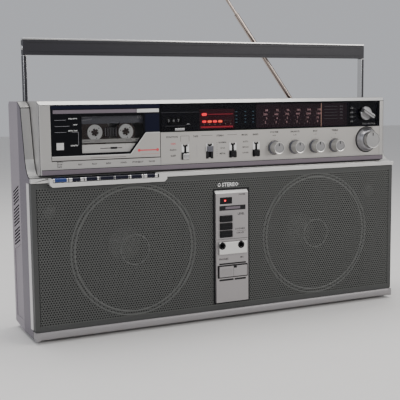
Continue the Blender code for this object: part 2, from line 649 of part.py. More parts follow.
# ------------------------------------------------------------------ loudspeakers
def woofer(side, name):
    """Loudspeaker with its cone, dome, basket and magnet."""
    r = WOOFER_R
    profile = [(0, 36.0), (r * 0.13, 37.4), (r * 0.24, 41.6), (r * 0.28, 44.6), (r * 0.84, 23.4), (r * 0.88, 20.6)]
    profile += [(r * 0.93, 19.6), (r * 0.95, 18.3), (r, 18.3), (r, 21.0), (r * 0.95, 25.0), (r * 0.45, 50.0)]
    profile += [(r * 0.45, 64.0), (0, 64.0)]
    return finish(turned("woofer_" + name, side * WOOFER_X, WOOFER_Z, profile, segs=48), (0.03, 0.03, 0.03), 0.8)


def tweeter(side, name):
    """Small treble loudspeaker."""
    r = TWEETER_R
    profile = [(0, 19.6), (r * 0.36, 21.6), (r * 0.4, 25.0), (r * 0.8, 20.0), (r * 0.86, 18.3), (r, 18.3), (r, 22.0)]
    profile += [(r * 0.6, 28.0), (r * 0.6, 38.0), (0, 38.0)]
    return finish(turned("tweeter_" + name, side * TWEETER_X, TWEETER_Z, profile, segs=32), (0.05, 0.05, 0.05), 0.7)


# ------------------------------------------------------------------ handle and antenna
def handle_frame():
    """Two flat arms and the strap that joins them."""
    pivot_d, pivot_z = HANDLE_PIVOT
    front, back = pivot_d - ARM_D / 2, pivot_d + ARM_D / 2
    strap = box("handle_frame", (-HANDLE_X, HANDLE_X), (front, back), (HANDLE_Z[1] - 2, HANDLE_Z[1]))
    arm = [(back, HANDLE_Z[0] - GAP), (front, HANDLE_Z[0] - GAP), (front, pivot_z)]
    for step in range(1, 8):
        turn = math.pi * step / 8
        arm.append((pivot_d - ARM_D / 2 * math.cos(turn), pivot_z - ARM_D / 2 * math.sin(turn)))
    arm.append((back, pivot_z))
    for side in (-1, 1):
        inner, outer = side * (HANDLE_X - ARM_T), side * HANDLE_X
        tongue = (inner + side * 0.3, outer - side * 1.8)
        mid = (inner + outer) / 2
        join(strap, box("handle_tongue", tongue, (front + 1.5, back - 1.5), (HANDLE_Z[0] - 3, HANDLE_Z[1] - 1)))
        join(strap, prism_x("handle_arm", arm, inner, outer))
        join(strap, pin_x("handle_pin", pivot_d, pivot_z, PIN_R, mid - side * 5.6, mid + side * 5.6))
    return hinge_at(finish(strap, STEEL, 0.25, 0.9), (0, ly(pivot_d), lz(pivot_z)))


def handle_grip(frame):
    """Moulded grip with its end blocks."""
    front, back = HANDLE_PIVOT[0] - ARM_D / 2, HANDLE_PIVOT[0] + ARM_D / 2
    grip = box("handle_grip", (-HANDLE_X, HANDLE_X), (front, back), (HANDLE_Z[0], HANDLE_Z[1] - 2 - GAP))
    for side in (-1, 1):
        inner, outer = side * (HANDLE_X - ARM_T), side * HANDLE_X
        slot = (inner, outer - side * 1.5)
        cut(grip, box("grip_slot", slot, (front + 1.2, back - 1.2), (HANDLE_Z[0] - 2, HANDLE_Z[1])))
    return hinge_at(finish(grip, (0.05, 0.05, 0.06), 0.5), frame.location, frame)


def lean(point_x, point_z, along):
    """Point at a distance up the leaning rod, in metres from the antenna joint."""
    return Vector((point_x - math.sin(ROD_LEAN) * along, 0.0, point_z + math.cos(ROD_LEAN) * along))


def rod(name, profile, segs=20):
    """A piece turned about the leaning antenna axis; stations in millimetres from the joint."""
    x, d, z = ANTENNA
    placed = [(radius * MM, station * MM) for radius, station in profile]
    matrix = Matrix.Translation((lx(x), ly(d), lz(z))) @ Matrix.Rotation(-ROD_LEAN, 4, "Y")
    return spun(name, placed, len(profile) > 3 and profile[0][0] > 0, matrix, segs)


def antenna_swivel():
    """Turning foot with the two ears that hold the rod."""
    x, d, z = ANTENNA
    origin = Vector((lx(x), ly(d), lz(285) + GAP * MM))
    height = lz(z) - origin.z
    foot = spun(
        "antenna_swivel",
        [(0, 0), (7.0 * MM, 0), (7.0 * MM, height - 5.0 * MM), (0, height - 5.0 * MM)],
        False,
        Matrix.Translation(origin),
        24,
    )
    for side in (-1, 1):
        near, far = side * 2.4 * MM, side * 4.6 * MM
        bm = bmesh.new()
        bmesh.ops.create_cube(bm, size=1.0)
        low, high = height - 6.0 * MM, height + 3.6 * MM
        bmesh.ops.scale(bm, vec=(7.6 * MM, abs(far - near), high - low), verts=bm.verts)
        bmesh.ops.translate(bm, vec=origin + Vector((0, (near + far) / 2, (low + high) / 2)), verts=bm.verts)
        join(foot, add_object("antenna_ear", bm))
    return hinge_at(finish(foot, STEEL, 0.25, 0.9), origin)


def antenna_outer_tube(foot):
    """Lower tube with the flat tongue that turns between the ears."""
    x, d, z = ANTENNA
    bore = ROD_INNER_R + 0.35
    tube = rod("antenna_outer_tube", [(0, 6.0), (ROD_OUTER_R, 6.0), (ROD_OUTER_R, ROD_OUTER_L), (0, ROD_OUTER_L)])
    bm = bmesh.new()
    bmesh.ops.create_cube(bm, size=1.0)
    bmesh.ops.scale(bm, vec=(5.6 * MM, 4.2 * MM, 12.0 * MM), verts=bm.verts)
    bmesh.ops.translate(bm, vec=(0, 0, 3.2 * MM), verts=bm.verts)
    placed = Matrix.Translation((lx(x), ly(d), lz(z))) @ Matrix.Rotation(-ROD_LEAN, 4, "Y")
    bmesh.ops.transform(bm, matrix=placed, verts=bm.verts)
    join(tube, add_object("antenna_tongue", bm))
    cut(tube, rod("antenna_bore", [(0, 14.0), (bore, 14.0), (bore, ROD_OUTER_L + 4), (0, ROD_OUTER_L + 4)]))
    return hinge_at(finish(tube, STEEL, 0.15, 1.0), (lx(x), ly(d), lz(z)), foot)


def antenna_inner_rod(tube):
    """Upper rod that slides into the tube, with its end cap."""
    x, d, z = ANTENNA
    end, start = ROD_TOTAL_L, ROD_OUTER_L - 14.0
    profile = [(0, start), (ROD_INNER_R, start), (ROD_INNER_R, end - 6), (ROD_INNER_R + 0.9, end - 6)]
    profile += [(ROD_INNER_R + 0.9, end - 0.8), (ROD_INNER_R, end), (0, end)]
    piece = rod("antenna_inner_rod", profile)
    return hinge_at(finish(piece, STEEL, 0.15, 1.0), (lx(x), ly(d), lz(z)), tube)


# ------------------------------------------------------------------ inside and back
def battery_door():
    """Hatch over the battery bay."""
    hatch = box("battery_door", (-HATCH_X, HATCH_X), (105.2, 107.8), HATCH_Z)
    for x in (-60, 60):
        cut(hatch, box("hatch_grip", (x - 12, x + 12), (106.9, 110), (74, 80)))
    return hinge_at(finish(hatch, REAR_SIDE), (0, ly(HATCH_HINGE[0]), lz(HATCH_HINGE[1])))


def battery_tray():
    """Bay for two rows of cells, open to the hatch."""
    tray = box("battery_tray", (-BAY_X, BAY_X), BAY_Y, BAY_Z)
    cut(tray, box("bay_low", (-BAY_X + 1.6, BAY_X - 1.6), (BAY_Y[0] + 1.6, 110), (BAY_Z[0] + 1.6, 49.9)))
    cut(tray, box("bay_high", (-BAY_X + 1.6, BAY_X - 1.6), (BAY_Y[0] + 1.6, 110), (51.5, BAY_Z[1] - 1.6)))
    return finish(tray, BLACK)


def main_board():
    """Circuit board with its pots, switches, tuner and cans."""
    board = box("main_board", (-98.7, 261.7), (30, 31.6), (222, 300))
    for _, x in KNOBS:
        join(board, box("pot", (x - 8, x + 8), (15.4, 31), (230, 246)))
    for _, x, _ in SLIDERS:
        join(board, box("switch_body", (x - 5, x + 5), (11.7, 31), (226, 248)))
    join(board, box("band_switch", (BAND[0] - 10, BAND[0] + 10), (19.4, 31), (BAND[1] - 10, BAND[1] + 10)))
    join(board, box("tuning_gang", (150, 178), (20, 31), (262, 286)))
    join(board, box("transistor_can", (100, 110), (22, 31), (266, 276)))
    join(board, box("coil_can", (60, 70), (22, 31), (270, 280)))
    join(board, box("power_stage", (-40, 10), (31, 48), (250, 290)))
    return finish(board, (0.05, 0.2, 0.08), 0.6)


def power_inlet():
    """Mains socket in the back."""
    x, z = INLET
    block = box("power_inlet", (x - 14, x + 14), (90, 107.6), (z - 9, z + 9))
    cut(block, box("inlet_well", (x - 10, x + 10), (93, 110), (z - 5.5, z + 5.5)))
    for side in (-1, 1):
        join(block, disc("inlet_pin", x + side * 4.3, z, 1.2, 92, 105, 12))
    return finish(block, BLACK)


def transformer():
    """Mains transformer on the floor of the rear case."""
    core = box("transformer", (188, 234), (70, 104.6), (22, 56))
    join(core, box("bobbin", (196, 226), (66, 102), (28, 50)))
    join(core, box("transformer_foot", (184, 238), (74, 100), (11.9, 23)))
    return finish(core, (0.25, 0.22, 0.2), 0.5, 0.5)


def build():
    """Builds every piece."""
    front_cabinet()
    rear_cabinet()
    speaker_grille()
    ledge_rim()
    bottom_trim()
    control_housing()
    control_panel()
    dial_window()
    dial_scale()
    dial_pointer()
    tuning_knob()
    for name, x in KNOBS:
        small_knob(name, x)
    for name, x, z in SLIDERS:
        slide_switch(name, x, z)
    band_selector()
    tape_counter()
    counter_reset_button()
    door = cassette_door()
    cassette_window(door)
    cassette_shell(door)
    for side, x in HUBS:
        reel(side, x, door)
        spindle(side, x)
    deck_plate()
    head_block()
    capstan_flywheel()
    deck_motor()
    for index, name in enumerate(KEY_NAMES):
        key(name, index)
    centre_panel()
    for name, low, high in BUTTONS:
        push_button(name, BUTTON_X, low, high, -3.4)
    push_button("wide_push_button", WIDE_X, *WIDE_Z, -4.0)
    jack_block()
    for side, name in ((-1, "left"), (1, "right")):
        woofer(side, name)
        tweeter(side, name)
    handle_grip(handle_frame())
    antenna_inner_rod(antenna_outer_tube(antenna_swivel()))
    battery_door()
    battery_tray()
    main_board()
    power_inlet()
    transformer()


build()
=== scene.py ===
"""A portable stereo radio with a cassette deck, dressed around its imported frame.

Sizes are millimetres on the frame's own grid: across from the middle, back from
the front rim, and up from the table. Each sub-assembly is a class that builds its
pieces, gives them their finishes and hangs them on the body that carries them.
"""

import logging
import math
from dataclasses import dataclass, replace
from enum import Enum
from typing import Any, Callable, Iterable, Sequence

import bmesh
import bpy
from mathutils import Matrix, Vector


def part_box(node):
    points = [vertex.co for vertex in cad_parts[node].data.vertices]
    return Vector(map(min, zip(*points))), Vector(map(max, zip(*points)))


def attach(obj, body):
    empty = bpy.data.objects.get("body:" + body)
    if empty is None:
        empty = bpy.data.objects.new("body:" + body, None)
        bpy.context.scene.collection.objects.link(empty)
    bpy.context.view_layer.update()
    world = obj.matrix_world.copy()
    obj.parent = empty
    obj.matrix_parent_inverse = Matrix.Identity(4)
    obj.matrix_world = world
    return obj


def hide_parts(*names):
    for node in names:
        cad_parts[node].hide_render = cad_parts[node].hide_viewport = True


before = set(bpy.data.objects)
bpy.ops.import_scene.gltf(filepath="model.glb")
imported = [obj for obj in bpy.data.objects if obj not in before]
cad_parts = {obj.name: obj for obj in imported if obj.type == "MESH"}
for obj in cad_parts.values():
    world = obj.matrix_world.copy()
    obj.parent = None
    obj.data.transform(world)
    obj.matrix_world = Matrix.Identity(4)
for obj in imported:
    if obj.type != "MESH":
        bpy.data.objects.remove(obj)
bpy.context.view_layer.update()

MM = 0.001
DEPTH = 108.0
FRONT_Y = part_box("rear_cabinet")[1].y - DEPTH * MM
TO_METRES = Matrix.Translation((0.0, FRONT_Y, 0.0)) @ Matrix.Scale(MM, 4)
SMOOTH_ANGLE = math.radians(32.0)
BEVEL_ANGLE = math.radians(34.0)

Tree = bpy.types.NodeTree
Socket = bpy.types.NodeSocket
Mesh = bpy.types.Mesh
Object = bpy.types.Object
BMesh = bmesh.types.BMesh
Span = tuple[float, float]
Place = tuple[float, float, float]
Outline = Sequence[Span]
Chooser = Callable[[Vector, Vector], "Finish"]

log = logging.getLogger("radio")


class Axis(Enum):
    """Direction a solid runs in."""

    ACROSS = 0
    BACK = 1
    UP = 2


class Grain(Enum):
    """Fine relief that a finish carries."""

    SATIN = "satin"
    LEATHER = "leather"
    PAPER = "paper"
    BRUSHED_ACROSS = "brushed_across"
    BRUSHED_UP = "brushed_up"
    SPUN = "spun"
    POLISHED = "polished"


# --- helpers
def link(made: Object) -> Object:
    """Puts an object in the scene."""
    bpy.context.scene.collection.objects.link(made)
    return made


def evaluated(holder: Object) -> Mesh:
    """Takes an object's mesh with its modifiers applied, and removes the object."""
    grown = bpy.data.meshes.new_from_object(holder.evaluated_get(bpy.context.evaluated_depsgraph_get()))
    bpy.data.objects.remove(holder)
    return grown


def add_node(tree: Tree, kind: str, values: dict[Any, Any] | None = None, **settings: Any) -> bpy.types.Node:
    """Adds a node to a tree.

    Args:
        tree: tree the node goes into.
        kind: the node's type name.
        values: constant or output socket for each input, by name or number.
        **settings: properties of the node itself.

    Returns:
        The new node.
    """
    made = tree.nodes.new(kind)
    for key, value in settings.items():
        setattr(made, key, value)
    for key, value in (values or {}).items():
        if isinstance(value, Socket):
            tree.links.new(value, made.inputs[key])
        else:
            made.inputs[key].default_value = value
    return made


def math_node(tree: Tree, operation: str, *values: Any) -> Socket:
    """Adds a Math node and returns its output."""
    return add_node(tree, "ShaderNodeMath", dict(enumerate(values)), operation=operation).outputs[0]


def times(tree: Tree, first: Any, second: Any) -> Socket:
    """Multiplies two values in a tree and returns the product."""
    return math_node(tree, "MULTIPLY", first, second)


def new_tree(name: str, kind: str, inputs: dict[str, tuple[str, Any]], outputs: dict[str, str]) -> tuple[Any, Any, Any]:
    """Makes an empty node group with named sockets.

    Args:
        name: the group's name.
        kind: "ShaderNodeTree" or "GeometryNodeTree".
        inputs: socket type and starting value of each input, None for no value.
        outputs: socket type of each output.

    Returns:
        The tree, its input node's outputs and its output node's inputs.
    """
    tree = bpy.data.node_groups.new(name, kind)
    for label, (socket, value) in inputs.items():
        made = tree.interface.new_socket(label, in_out="INPUT", socket_type=socket)
        if value is not None:
            made.default_value = value
    for label, socket in outputs.items():
        tree.interface.new_socket(label, in_out="OUTPUT", socket_type=socket)
    return tree, tree.nodes.new("NodeGroupInput").outputs, tree.nodes.new("NodeGroupOutput").inputs


# --- shared shader effects
class Effects:
    """Shader groups that several finishes share, each built once."""

    FLOAT = "NodeSocketFloat"
    VECTOR = "NodeSocketVector"

    @classmethod
    def get(cls, name: str) -> Tree:
        """Returns the named effect's group, building it the first time."""
        return bpy.data.node_groups.get(name) or getattr(cls, name)(name)

    @classmethod
    def drift(cls, name: str) -> Tree:
        """Slow change of shade over a moulding or a painted sheet."""
        inputs = {"Where": (cls.VECTOR, None), "Scale": (cls.FLOAT, 18.0), "Amount": (cls.FLOAT, 0.05)}
        tree, given, result = new_tree(name, "ShaderNodeTree", inputs, {"Shade": cls.FLOAT})
        broad = add_node(
            tree, "ShaderNodeTexNoise",
            {"Vector": given["Where"], "Scale": given["Scale"], "Detail": 5.0, "Roughness": 0.6},
        )
        centred = math_node(tree, "SUBTRACT", broad.outputs["Fac"], 0.5)
        swing = times(tree, centred, times(tree, given["Amount"], 4.0))
        tree.links.new(math_node(tree, "ADD", swing, 1.0), result["Shade"])
        return tree

    @classmethod
    def pebble(cls, name: str) -> Tree:
        """Rounded grain of a textured moulding."""
        tree, given, result = new_tree(
            name, "ShaderNodeTree", {"Where": (cls.VECTOR, None), "Scale": (cls.FLOAT, 900.0)}, {"Height": cls.FLOAT}
        )
        cells = add_node(
            tree, "ShaderNodeTexVoronoi", {"Vector": given["Where"], "Scale": given["Scale"]}, feature="SMOOTH_F1"
        )
        fine = add_node(
            tree, "ShaderNodeTexNoise",
            {"Vector": given["Where"], "Scale": times(tree, given["Scale"], 2.2), "Detail": 2.0},
        )
        tree.links.new(math_node(tree, "ADD", cells.outputs["Distance"], fine.outputs["Fac"]), result["Height"])
        return tree

    @classmethod
    def strokes(cls, name: str) -> Tree:
        """Long fine lines of a brushed face, drawn along the short side of Stretch."""
        tree, given, result = new_tree(
            name, "ShaderNodeTree", {"Where": (cls.VECTOR, None), "Stretch": (cls.VECTOR, (20.0, 2600.0, 2600.0))},
            {"Height": cls.FLOAT},
        )
        pulled = add_node(tree, "ShaderNodeVectorMath", {0: given["Where"], 1: given["Stretch"]}, operation="MULTIPLY")
        lines = add_node(tree, "ShaderNodeTexNoise", {"Vector": pulled.outputs[0], "Scale": 1.0, "Detail": 3.0})
        tree.links.new(lines.outputs["Fac"], result["Height"])
        return tree

    @classmethod
    def rings(cls, name: str) -> Tree:
        """Concentric lathe marks round the front-to-back axis."""
        tree, given, result = new_tree(
            name, "ShaderNodeTree", {"Where": (cls.VECTOR, None), "Scale": (cls.FLOAT, 2600.0)}, {"Height": cls.FLOAT}
        )
        flat = add_node(tree, "ShaderNodeVectorMath", {0: given["Where"], 1: (1.0, 0.0, 1.0)}, operation="MULTIPLY")
        reach = add_node(tree, "ShaderNodeVectorMath", {0: flat.outputs[0]}, operation="LENGTH")
        marks = add_node(
            tree, "ShaderNodeTexNoise", {"W": reach.outputs["Value"], "Scale": given["Scale"], "Detail": 2.0},
            noise_dimensions="1D",
        )
        tree.links.new(marks.outputs["Fac"], result["Height"])
        return tree

    @classmethod
    def rubbed_edges(cls, name: str) -> Tree:
        """Edges that hands and shelves have rubbed, in broken patches."""
        inputs = {"Where": (cls.VECTOR, None), "Radius": (cls.FLOAT, 0.0009), "Amount": (cls.FLOAT, 0.4)}
        tree, given, result = new_tree(name, "ShaderNodeTree", inputs, {"Mask": cls.FLOAT})
        rounded = add_node(tree, "ShaderNodeBevel", {"Radius": given["Radius"]}, samples=4)
        true_normal = add_node(tree, "ShaderNodeNewGeometry").outputs["Normal"]
        agree = add_node(tree, "ShaderNodeVectorMath", {0: rounded.outputs[0], 1: true_normal}, operation="DOT_PRODUCT")
        edge = times(tree, math_node(tree, "SUBTRACT", 1.0, agree.outputs["Value"]), 9.0)
        patches = add_node(tree, "ShaderNodeTexNoise", {"Vector": given["Where"], "Scale": 160.0, "Detail": 4.0})
        broken = times(tree, edge, math_node(tree, "POWER", patches.outputs["Fac"], 1.6))
        held = add_node(tree, "ShaderNodeClamp", {"Value": times(tree, broken, given["Amount"])})
        tree.links.new(held.outputs[0], result["Mask"])
        return tree

    @classmethod
    def dust(cls, name: str) -> Tree:
        """Dust that lies on faces that look up."""
        tree, given, result = new_tree(
            name, "ShaderNodeTree", {"Where": (cls.VECTOR, None), "Amount": (cls.FLOAT, 0.2)}, {"Mask": cls.FLOAT}
        )
        normal = add_node(tree, "ShaderNodeNewGeometry").outputs["Normal"]
        up = add_node(tree, "ShaderNodeSeparateXYZ", {0: normal}).outputs[2]
        specks = add_node(tree, "ShaderNodeTexNoise", {"Vector": given["Where"], "Scale": 240.0, "Detail": 6.0})
        lying = times(tree, math_node(tree, "MAXIMUM", up, 0.0), specks.outputs["Fac"])
        tree.links.new(times(tree, lying, given["Amount"]), result["Mask"])
        return tree


# --- finishes
@dataclass(frozen=True)
class Finish:
    """One surface finish: its colour on a screen, its gloss and its fine detail."""

    name: str
    colour: tuple[int, int, int]
    roughness: float = 0.45
    metallic: float = 0.0
    grain: Grain = Grain.SATIN
    relief: float = 0.02
    drift: float = 0.04
    wear: float = 0.0
    dust: float = 0.0
    coat: float = 0.0
    glow: float = 0.0
    tint: float = 1.0
    centre: tuple[float, float] | None = None
    shine: float = 0.5

    def linear(self, colour: tuple[int, int, int]) -> tuple[float, float, float, float]:
        """Turns a screen colour into scene light."""
        parts = [part / 255.0 for part in colour]
        return (*[p / 12.92 if p <= 0.04045 else ((p + 0.055) / 1.055) ** 2.4 for p in parts], 1.0)

    def group(self, tree: Tree, effect: str, values: dict[str, Any]) -> Socket:
        """Places a shared effect and returns its output."""
        node = tree.nodes.new("ShaderNodeGroup")
        node.node_tree = Effects.get(effect)
        for key, value in values.items():
            if isinstance(value, Socket):
                tree.links.new(value, node.inputs[key])
            else:
                node.inputs[key].default_value = value
        return node.outputs[0]

    def height(self, tree: Tree, where: Socket) -> Socket:
        """Builds the fine relief of this finish's grain."""
        if self.grain is Grain.LEATHER:
            return self.group(tree, "pebble", {"Where": where, "Scale": 950.0})
        if self.grain is Grain.PAPER:
            return self.group(tree, "pebble", {"Where": where, "Scale": 420.0})
        if self.grain is Grain.SPUN:
            return self.group(tree, "rings", {"Where": where})
        if self.grain is Grain.BRUSHED_ACROSS:
            return self.group(tree, "strokes", {"Where": where})
        if self.grain is Grain.BRUSHED_UP:
            return self.group(tree, "strokes", {"Where": where, "Stretch": (2600.0, 2600.0, 20.0)})
        scale = 1800.0 if self.grain is Grain.SATIN else 60.0
        return self.group(tree, "drift", {"Where": where, "Scale": scale, "Amount": 0.25})

    def material(self) -> bpy.types.Material:
        """Returns this finish's material, building its nodes the first time."""
        known = bpy.data.materials.get(self.name)
        if known is not None:
            return known
        made = bpy.data.materials.new(self.name)
        made.use_nodes = True
        tree = made.node_tree
        shader = tree.nodes["Principled BSDF"]
        where = add_node(tree, "ShaderNodeTexCoord").outputs["Object"]
        if self.centre is not None:
            x, z = self.centre
            where = add_node(
                tree, "ShaderNodeMapping", {"Vector": where, "Location": (-x * MM, 0.0, -z * MM)}
            ).outputs[0]
        shade = self.group(tree, "drift", {"Where": where, "Amount": self.drift})
        base = self.linear(self.colour)
        colour = add_node(tree, "ShaderNodeVectorMath", {0: base[:3], "Scale": shade}, operation="SCALE").outputs[0]
        rough = times(tree, shade, self.roughness)
        relief = self.height(tree, where)
        if self.wear:
            mask = self.group(tree, "rubbed_edges", {"Where": where, "Amount": self.wear})
            bare = tuple(min(1.0, part * 1.9 + 0.03) for part in base[:3])
            colour = self.mix(tree, mask, colour, (*bare, 1.0))
            rough = math_node(tree, "SUBTRACT", rough, times(tree, mask, 0.1))
        if self.dust:
            mask = self.group(tree, "dust", {"Where": where, "Amount": self.dust})
            colour = self.mix(tree, mask, colour, (0.36, 0.35, 0.33, 1.0))
            rough = math_node(tree, "ADD", rough, times(tree, mask, 0.3))
        tree.links.new(colour, shader.inputs["Base Color"])
        tree.links.new(rough, shader.inputs["Roughness"])
        bump = add_node(tree, "ShaderNodeBump", {"Strength": 1.0, "Distance": self.relief * MM, "Height": relief})
        tree.links.new(bump.outputs[0], shader.inputs["Normal"])
        shader.inputs["Metallic"].default_value = self.metallic
        shader.inputs["Coat Weight"].default_value = self.coat
        shader.inputs["Coat Roughness"].default_value = 0.08
        shader.inputs["Specular IOR Level"].default_value = self.shine
        if self.glow:
            shader.inputs["Emission Color"].default_value = base
            shader.inputs["Emission Strength"].default_value = self.glow
        if self.tint < 1.0:
            sheen = add_node(tree, "ShaderNodeFresnel", {"IOR": 1.5}).outputs[0]
            kept = times(tree, shade, self.tint)
            tree.links.new(math_node(tree, "ADD", kept, sheen), shader.inputs["Alpha"])
        made.diffuse_color = base
        return made

    def mix(self, tree: Tree, mask: Any, under: Any, over: Any) -> Socket:
        """Lays one colour over another through a mask."""
        node = add_node(tree, "ShaderNodeMix", {0: mask, 6: under, 7: over}, data_type="RGBA")
        return node.outputs[2]


class Paint:
    """Every finish on the radio."""

    SILVER = Finish("silver_paint", (170, 168, 165), 0.36, 0.55, relief=0.012, drift=0.03, wear=0.35, dust=0.15)
    # Silver paint made paler as a painted highlight, mostly for faces that look up into the light.
    BRIGHT = Finish("pale_silver_painted_highlight", (206, 205, 202), 0.3, 0.55, relief=0.01, drift=0.03, wear=0.35, dust=0.15)
    PANEL = Finish("panel_silver", (166, 163, 159), 0.4, 0.5, Grain.BRUSHED_ACROSS, 0.014, 0.025)
    COLUMN = Finish("column_silver", (152, 148, 148), 0.4, 0.45, Grain.BRUSHED_UP, 0.012, 0.03)
    # Purple-grey plastic darkened by painted shade, for the strip under the overhanging control panel.
    LIP = Finish("lip_grey_painted_shade", (104, 95, 103), 0.42, 0.2, relief=0.015, dust=0.2)
    SIDE = Finish("side_moulding", (98, 92, 100), 0.5, 0.0, Grain.LEATHER, 0.05, 0.05, wear=0.5, dust=0.25)
    REAR = Finish("rear_moulding", (134, 127, 133), 0.52, 0.0, Grain.LEATHER, 0.06, 0.05, wear=0.4, dust=0.3)
    # Pale strip on the front corners of the cheeks: silver made paler as a painted highlight where the rounded corner
    # catches the light.
    EDGE = Finish("edge_strip_painted_highlight", (206, 203, 202), 0.4, 0.3, relief=0.015, wear=0.3)
    BLACK = Finish("black_moulding", (14, 14, 17), 0.5, 0.0, Grain.LEATHER, 0.03, 0.06, dust=0.1, shine=0.25)
    GLOSS = Finish("gloss_black", (6, 6, 10), 0.14, 0.0, Grain.POLISHED, 0.004, 0.05, shine=0.2)
    NAVY = Finish("gloss_navy", (9, 11, 32), 0.14, 0.0, Grain.POLISHED, 0.004, 0.05, shine=0.25)
    BLUE = Finish("record_key_blue", (24, 50, 108), 0.18, 0.0, Grain.POLISHED, 0.004, 0.05, coat=0.3, shine=0.3)
    GRILLE = Finish("grille_enamel", (70, 71, 69), 0.5, 0.15, relief=0.02, drift=0.05)
    # The grille's own enamel painted darker on its plain border as painted shade.
    GRILLE_RIM = Finish("grille_rim_painted_shade", (58, 59, 58), 0.5, 0.15, relief=0.02, drift=0.05)
    # The grille's enamel painted lighter on its rings as a painted highlight for the woofer rims and domes behind it.
    RING = Finish("grille_ring_painted_highlight", (78, 79, 77), 0.5, 0.15, relief=0.02, drift=0.05)
    TRIM = Finish("foot_strip_paint", (140, 137, 138), 0.42, 0.35, relief=0.012, drift=0.03, wear=0.3, dust=0.15)
    CONE = Finish("cone_paper", (58, 57, 56), 0.85, 0.0, Grain.PAPER, 0.12, 0.1)
    DOME = Finish("dome_lacquer", (150, 149, 147), 0.4, 0.15, relief=0.02)
    FOAM = Finish("surround_foam", (34, 34, 35), 0.9, 0.0, Grain.PAPER, 0.1, 0.06)
    CHROME = Finish("chrome_plate", (214, 213, 212), 0.14, 1.0, Grain.BRUSHED_ACROSS, 0.004, 0.03)
    ALUMINIUM = Finish("turned_aluminium", (188, 187, 186), 0.28, 0.9, Grain.SPUN, 0.012, 0.03)
    STEEL = Finish("zinc_steel", (156, 154, 150), 0.36, 1.0, Grain.BRUSHED_UP, 0.008, 0.06)
    ROD = Finish("antenna_chrome", (172, 160, 152), 0.2, 1.0, Grain.POLISHED, 0.006, 0.06)
    GRIP = Finish("grip_moulding", (34, 33, 39), 0.4, 0.0, Grain.LEATHER, 0.03, 0.05, wear=0.3, dust=0.15, shine=0.35)
    CLEAR = Finish("clear_window", (20, 20, 26), 0.05, 0.0, Grain.POLISHED, 0.0, 0.05, tint=0.08)
    SMOKED = Finish("smoked_window", (8, 7, 16), 0.05, 0.0, Grain.POLISHED, 0.0, 0.05, tint=0.16)
    DIAL = Finish("dial_plate", (11, 10, 20), 0.6, 0.0, relief=0.01, drift=0.05, shine=0.2)
    DIAL_WARM = Finish("dial_scale_ink", (58, 38, 46), 0.6, 0.0, relief=0.01, drift=0.08, glow=0.12, shine=0.2)
    LED_FIELD = Finish("lamp_field_red", (64, 14, 26), 0.5, 0.0, relief=0.01, glow=0.25, shine=0.2)
    PRINT = Finish("dark_print", (24, 23, 26), 0.6, 0.0, relief=0.01, shine=0.2)
    WHITE = Finish("white_print", (214, 214, 212), 0.55, 0.0, relief=0.01)
    GREY = Finish("grey_print", (136, 134, 138), 0.55, 0.0, relief=0.01)
    RED = Finish("red_print", (196, 62, 72), 0.5, 0.0, relief=0.01)
    PINK = Finish("scale_print", (206, 158, 160), 0.5, 0.0, relief=0.01, glow=0.4)
    CYAN = Finish("meter_print", (92, 128, 150), 0.5, 0.0, relief=0.01, glow=0.2)
    NEEDLE = Finish("needle_orange", (222, 176, 156), 0.4, 0.0, relief=0.01, glow=0.35)
    LED_ON = Finish("lit_lamp_red", (240, 34, 48), 0.2, 0.0, Grain.POLISHED, glow=2.0)
    LED_AMBER = Finish("lit_lamp_amber", (244, 84, 54), 0.2, 0.0, Grain.POLISHED, glow=1.8)
    LED_BAR = Finish("lamp_bar_red", (168, 22, 42), 0.3, 0.0, Grain.POLISHED, glow=0.7)
    LED_OFF = Finish("lamp_lens_red", (92, 14, 22), 0.2, 0.0, Grain.POLISHED, coat=0.6)
    SHELL = Finish("cassette_plastic", (44, 44, 47), 0.38, 0.0, relief=0.015, drift=0.08)
    # The cassette's label and paper strip glow as painted light, to stay bright behind the window.
    LABEL = Finish("cassette_label_painted_light", (226, 223, 218), 0.7, 0.0, Grain.PAPER, 0.03, 0.05, glow=0.3)
    PAPER_STRIP = Finish("cassette_strip_painted_light", (176, 174, 170), 0.7, 0.0, Grain.PAPER, 0.03, 0.08, glow=0.12)
    REEL = Finish("reel_plastic", (150, 148, 147), 0.5, 0.0, relief=0.01)
    TAPE = Finish("wound_tape", (52, 38, 33), 0.3, 0.2, Grain.SPUN, 0.01, 0.05)
    RUBBER = Finish("rubber", (30, 29, 31), 0.85, 0.0, Grain.PAPER, 0.04, 0.05)
    BOARD = Finish("board_laminate", (52, 84, 58), 0.5, 0.0, relief=0.02, drift=0.1)
    COPPER = Finish("copper_wire", (176, 104, 66), 0.35, 0.9, Grain.BRUSHED_UP, 0.03)


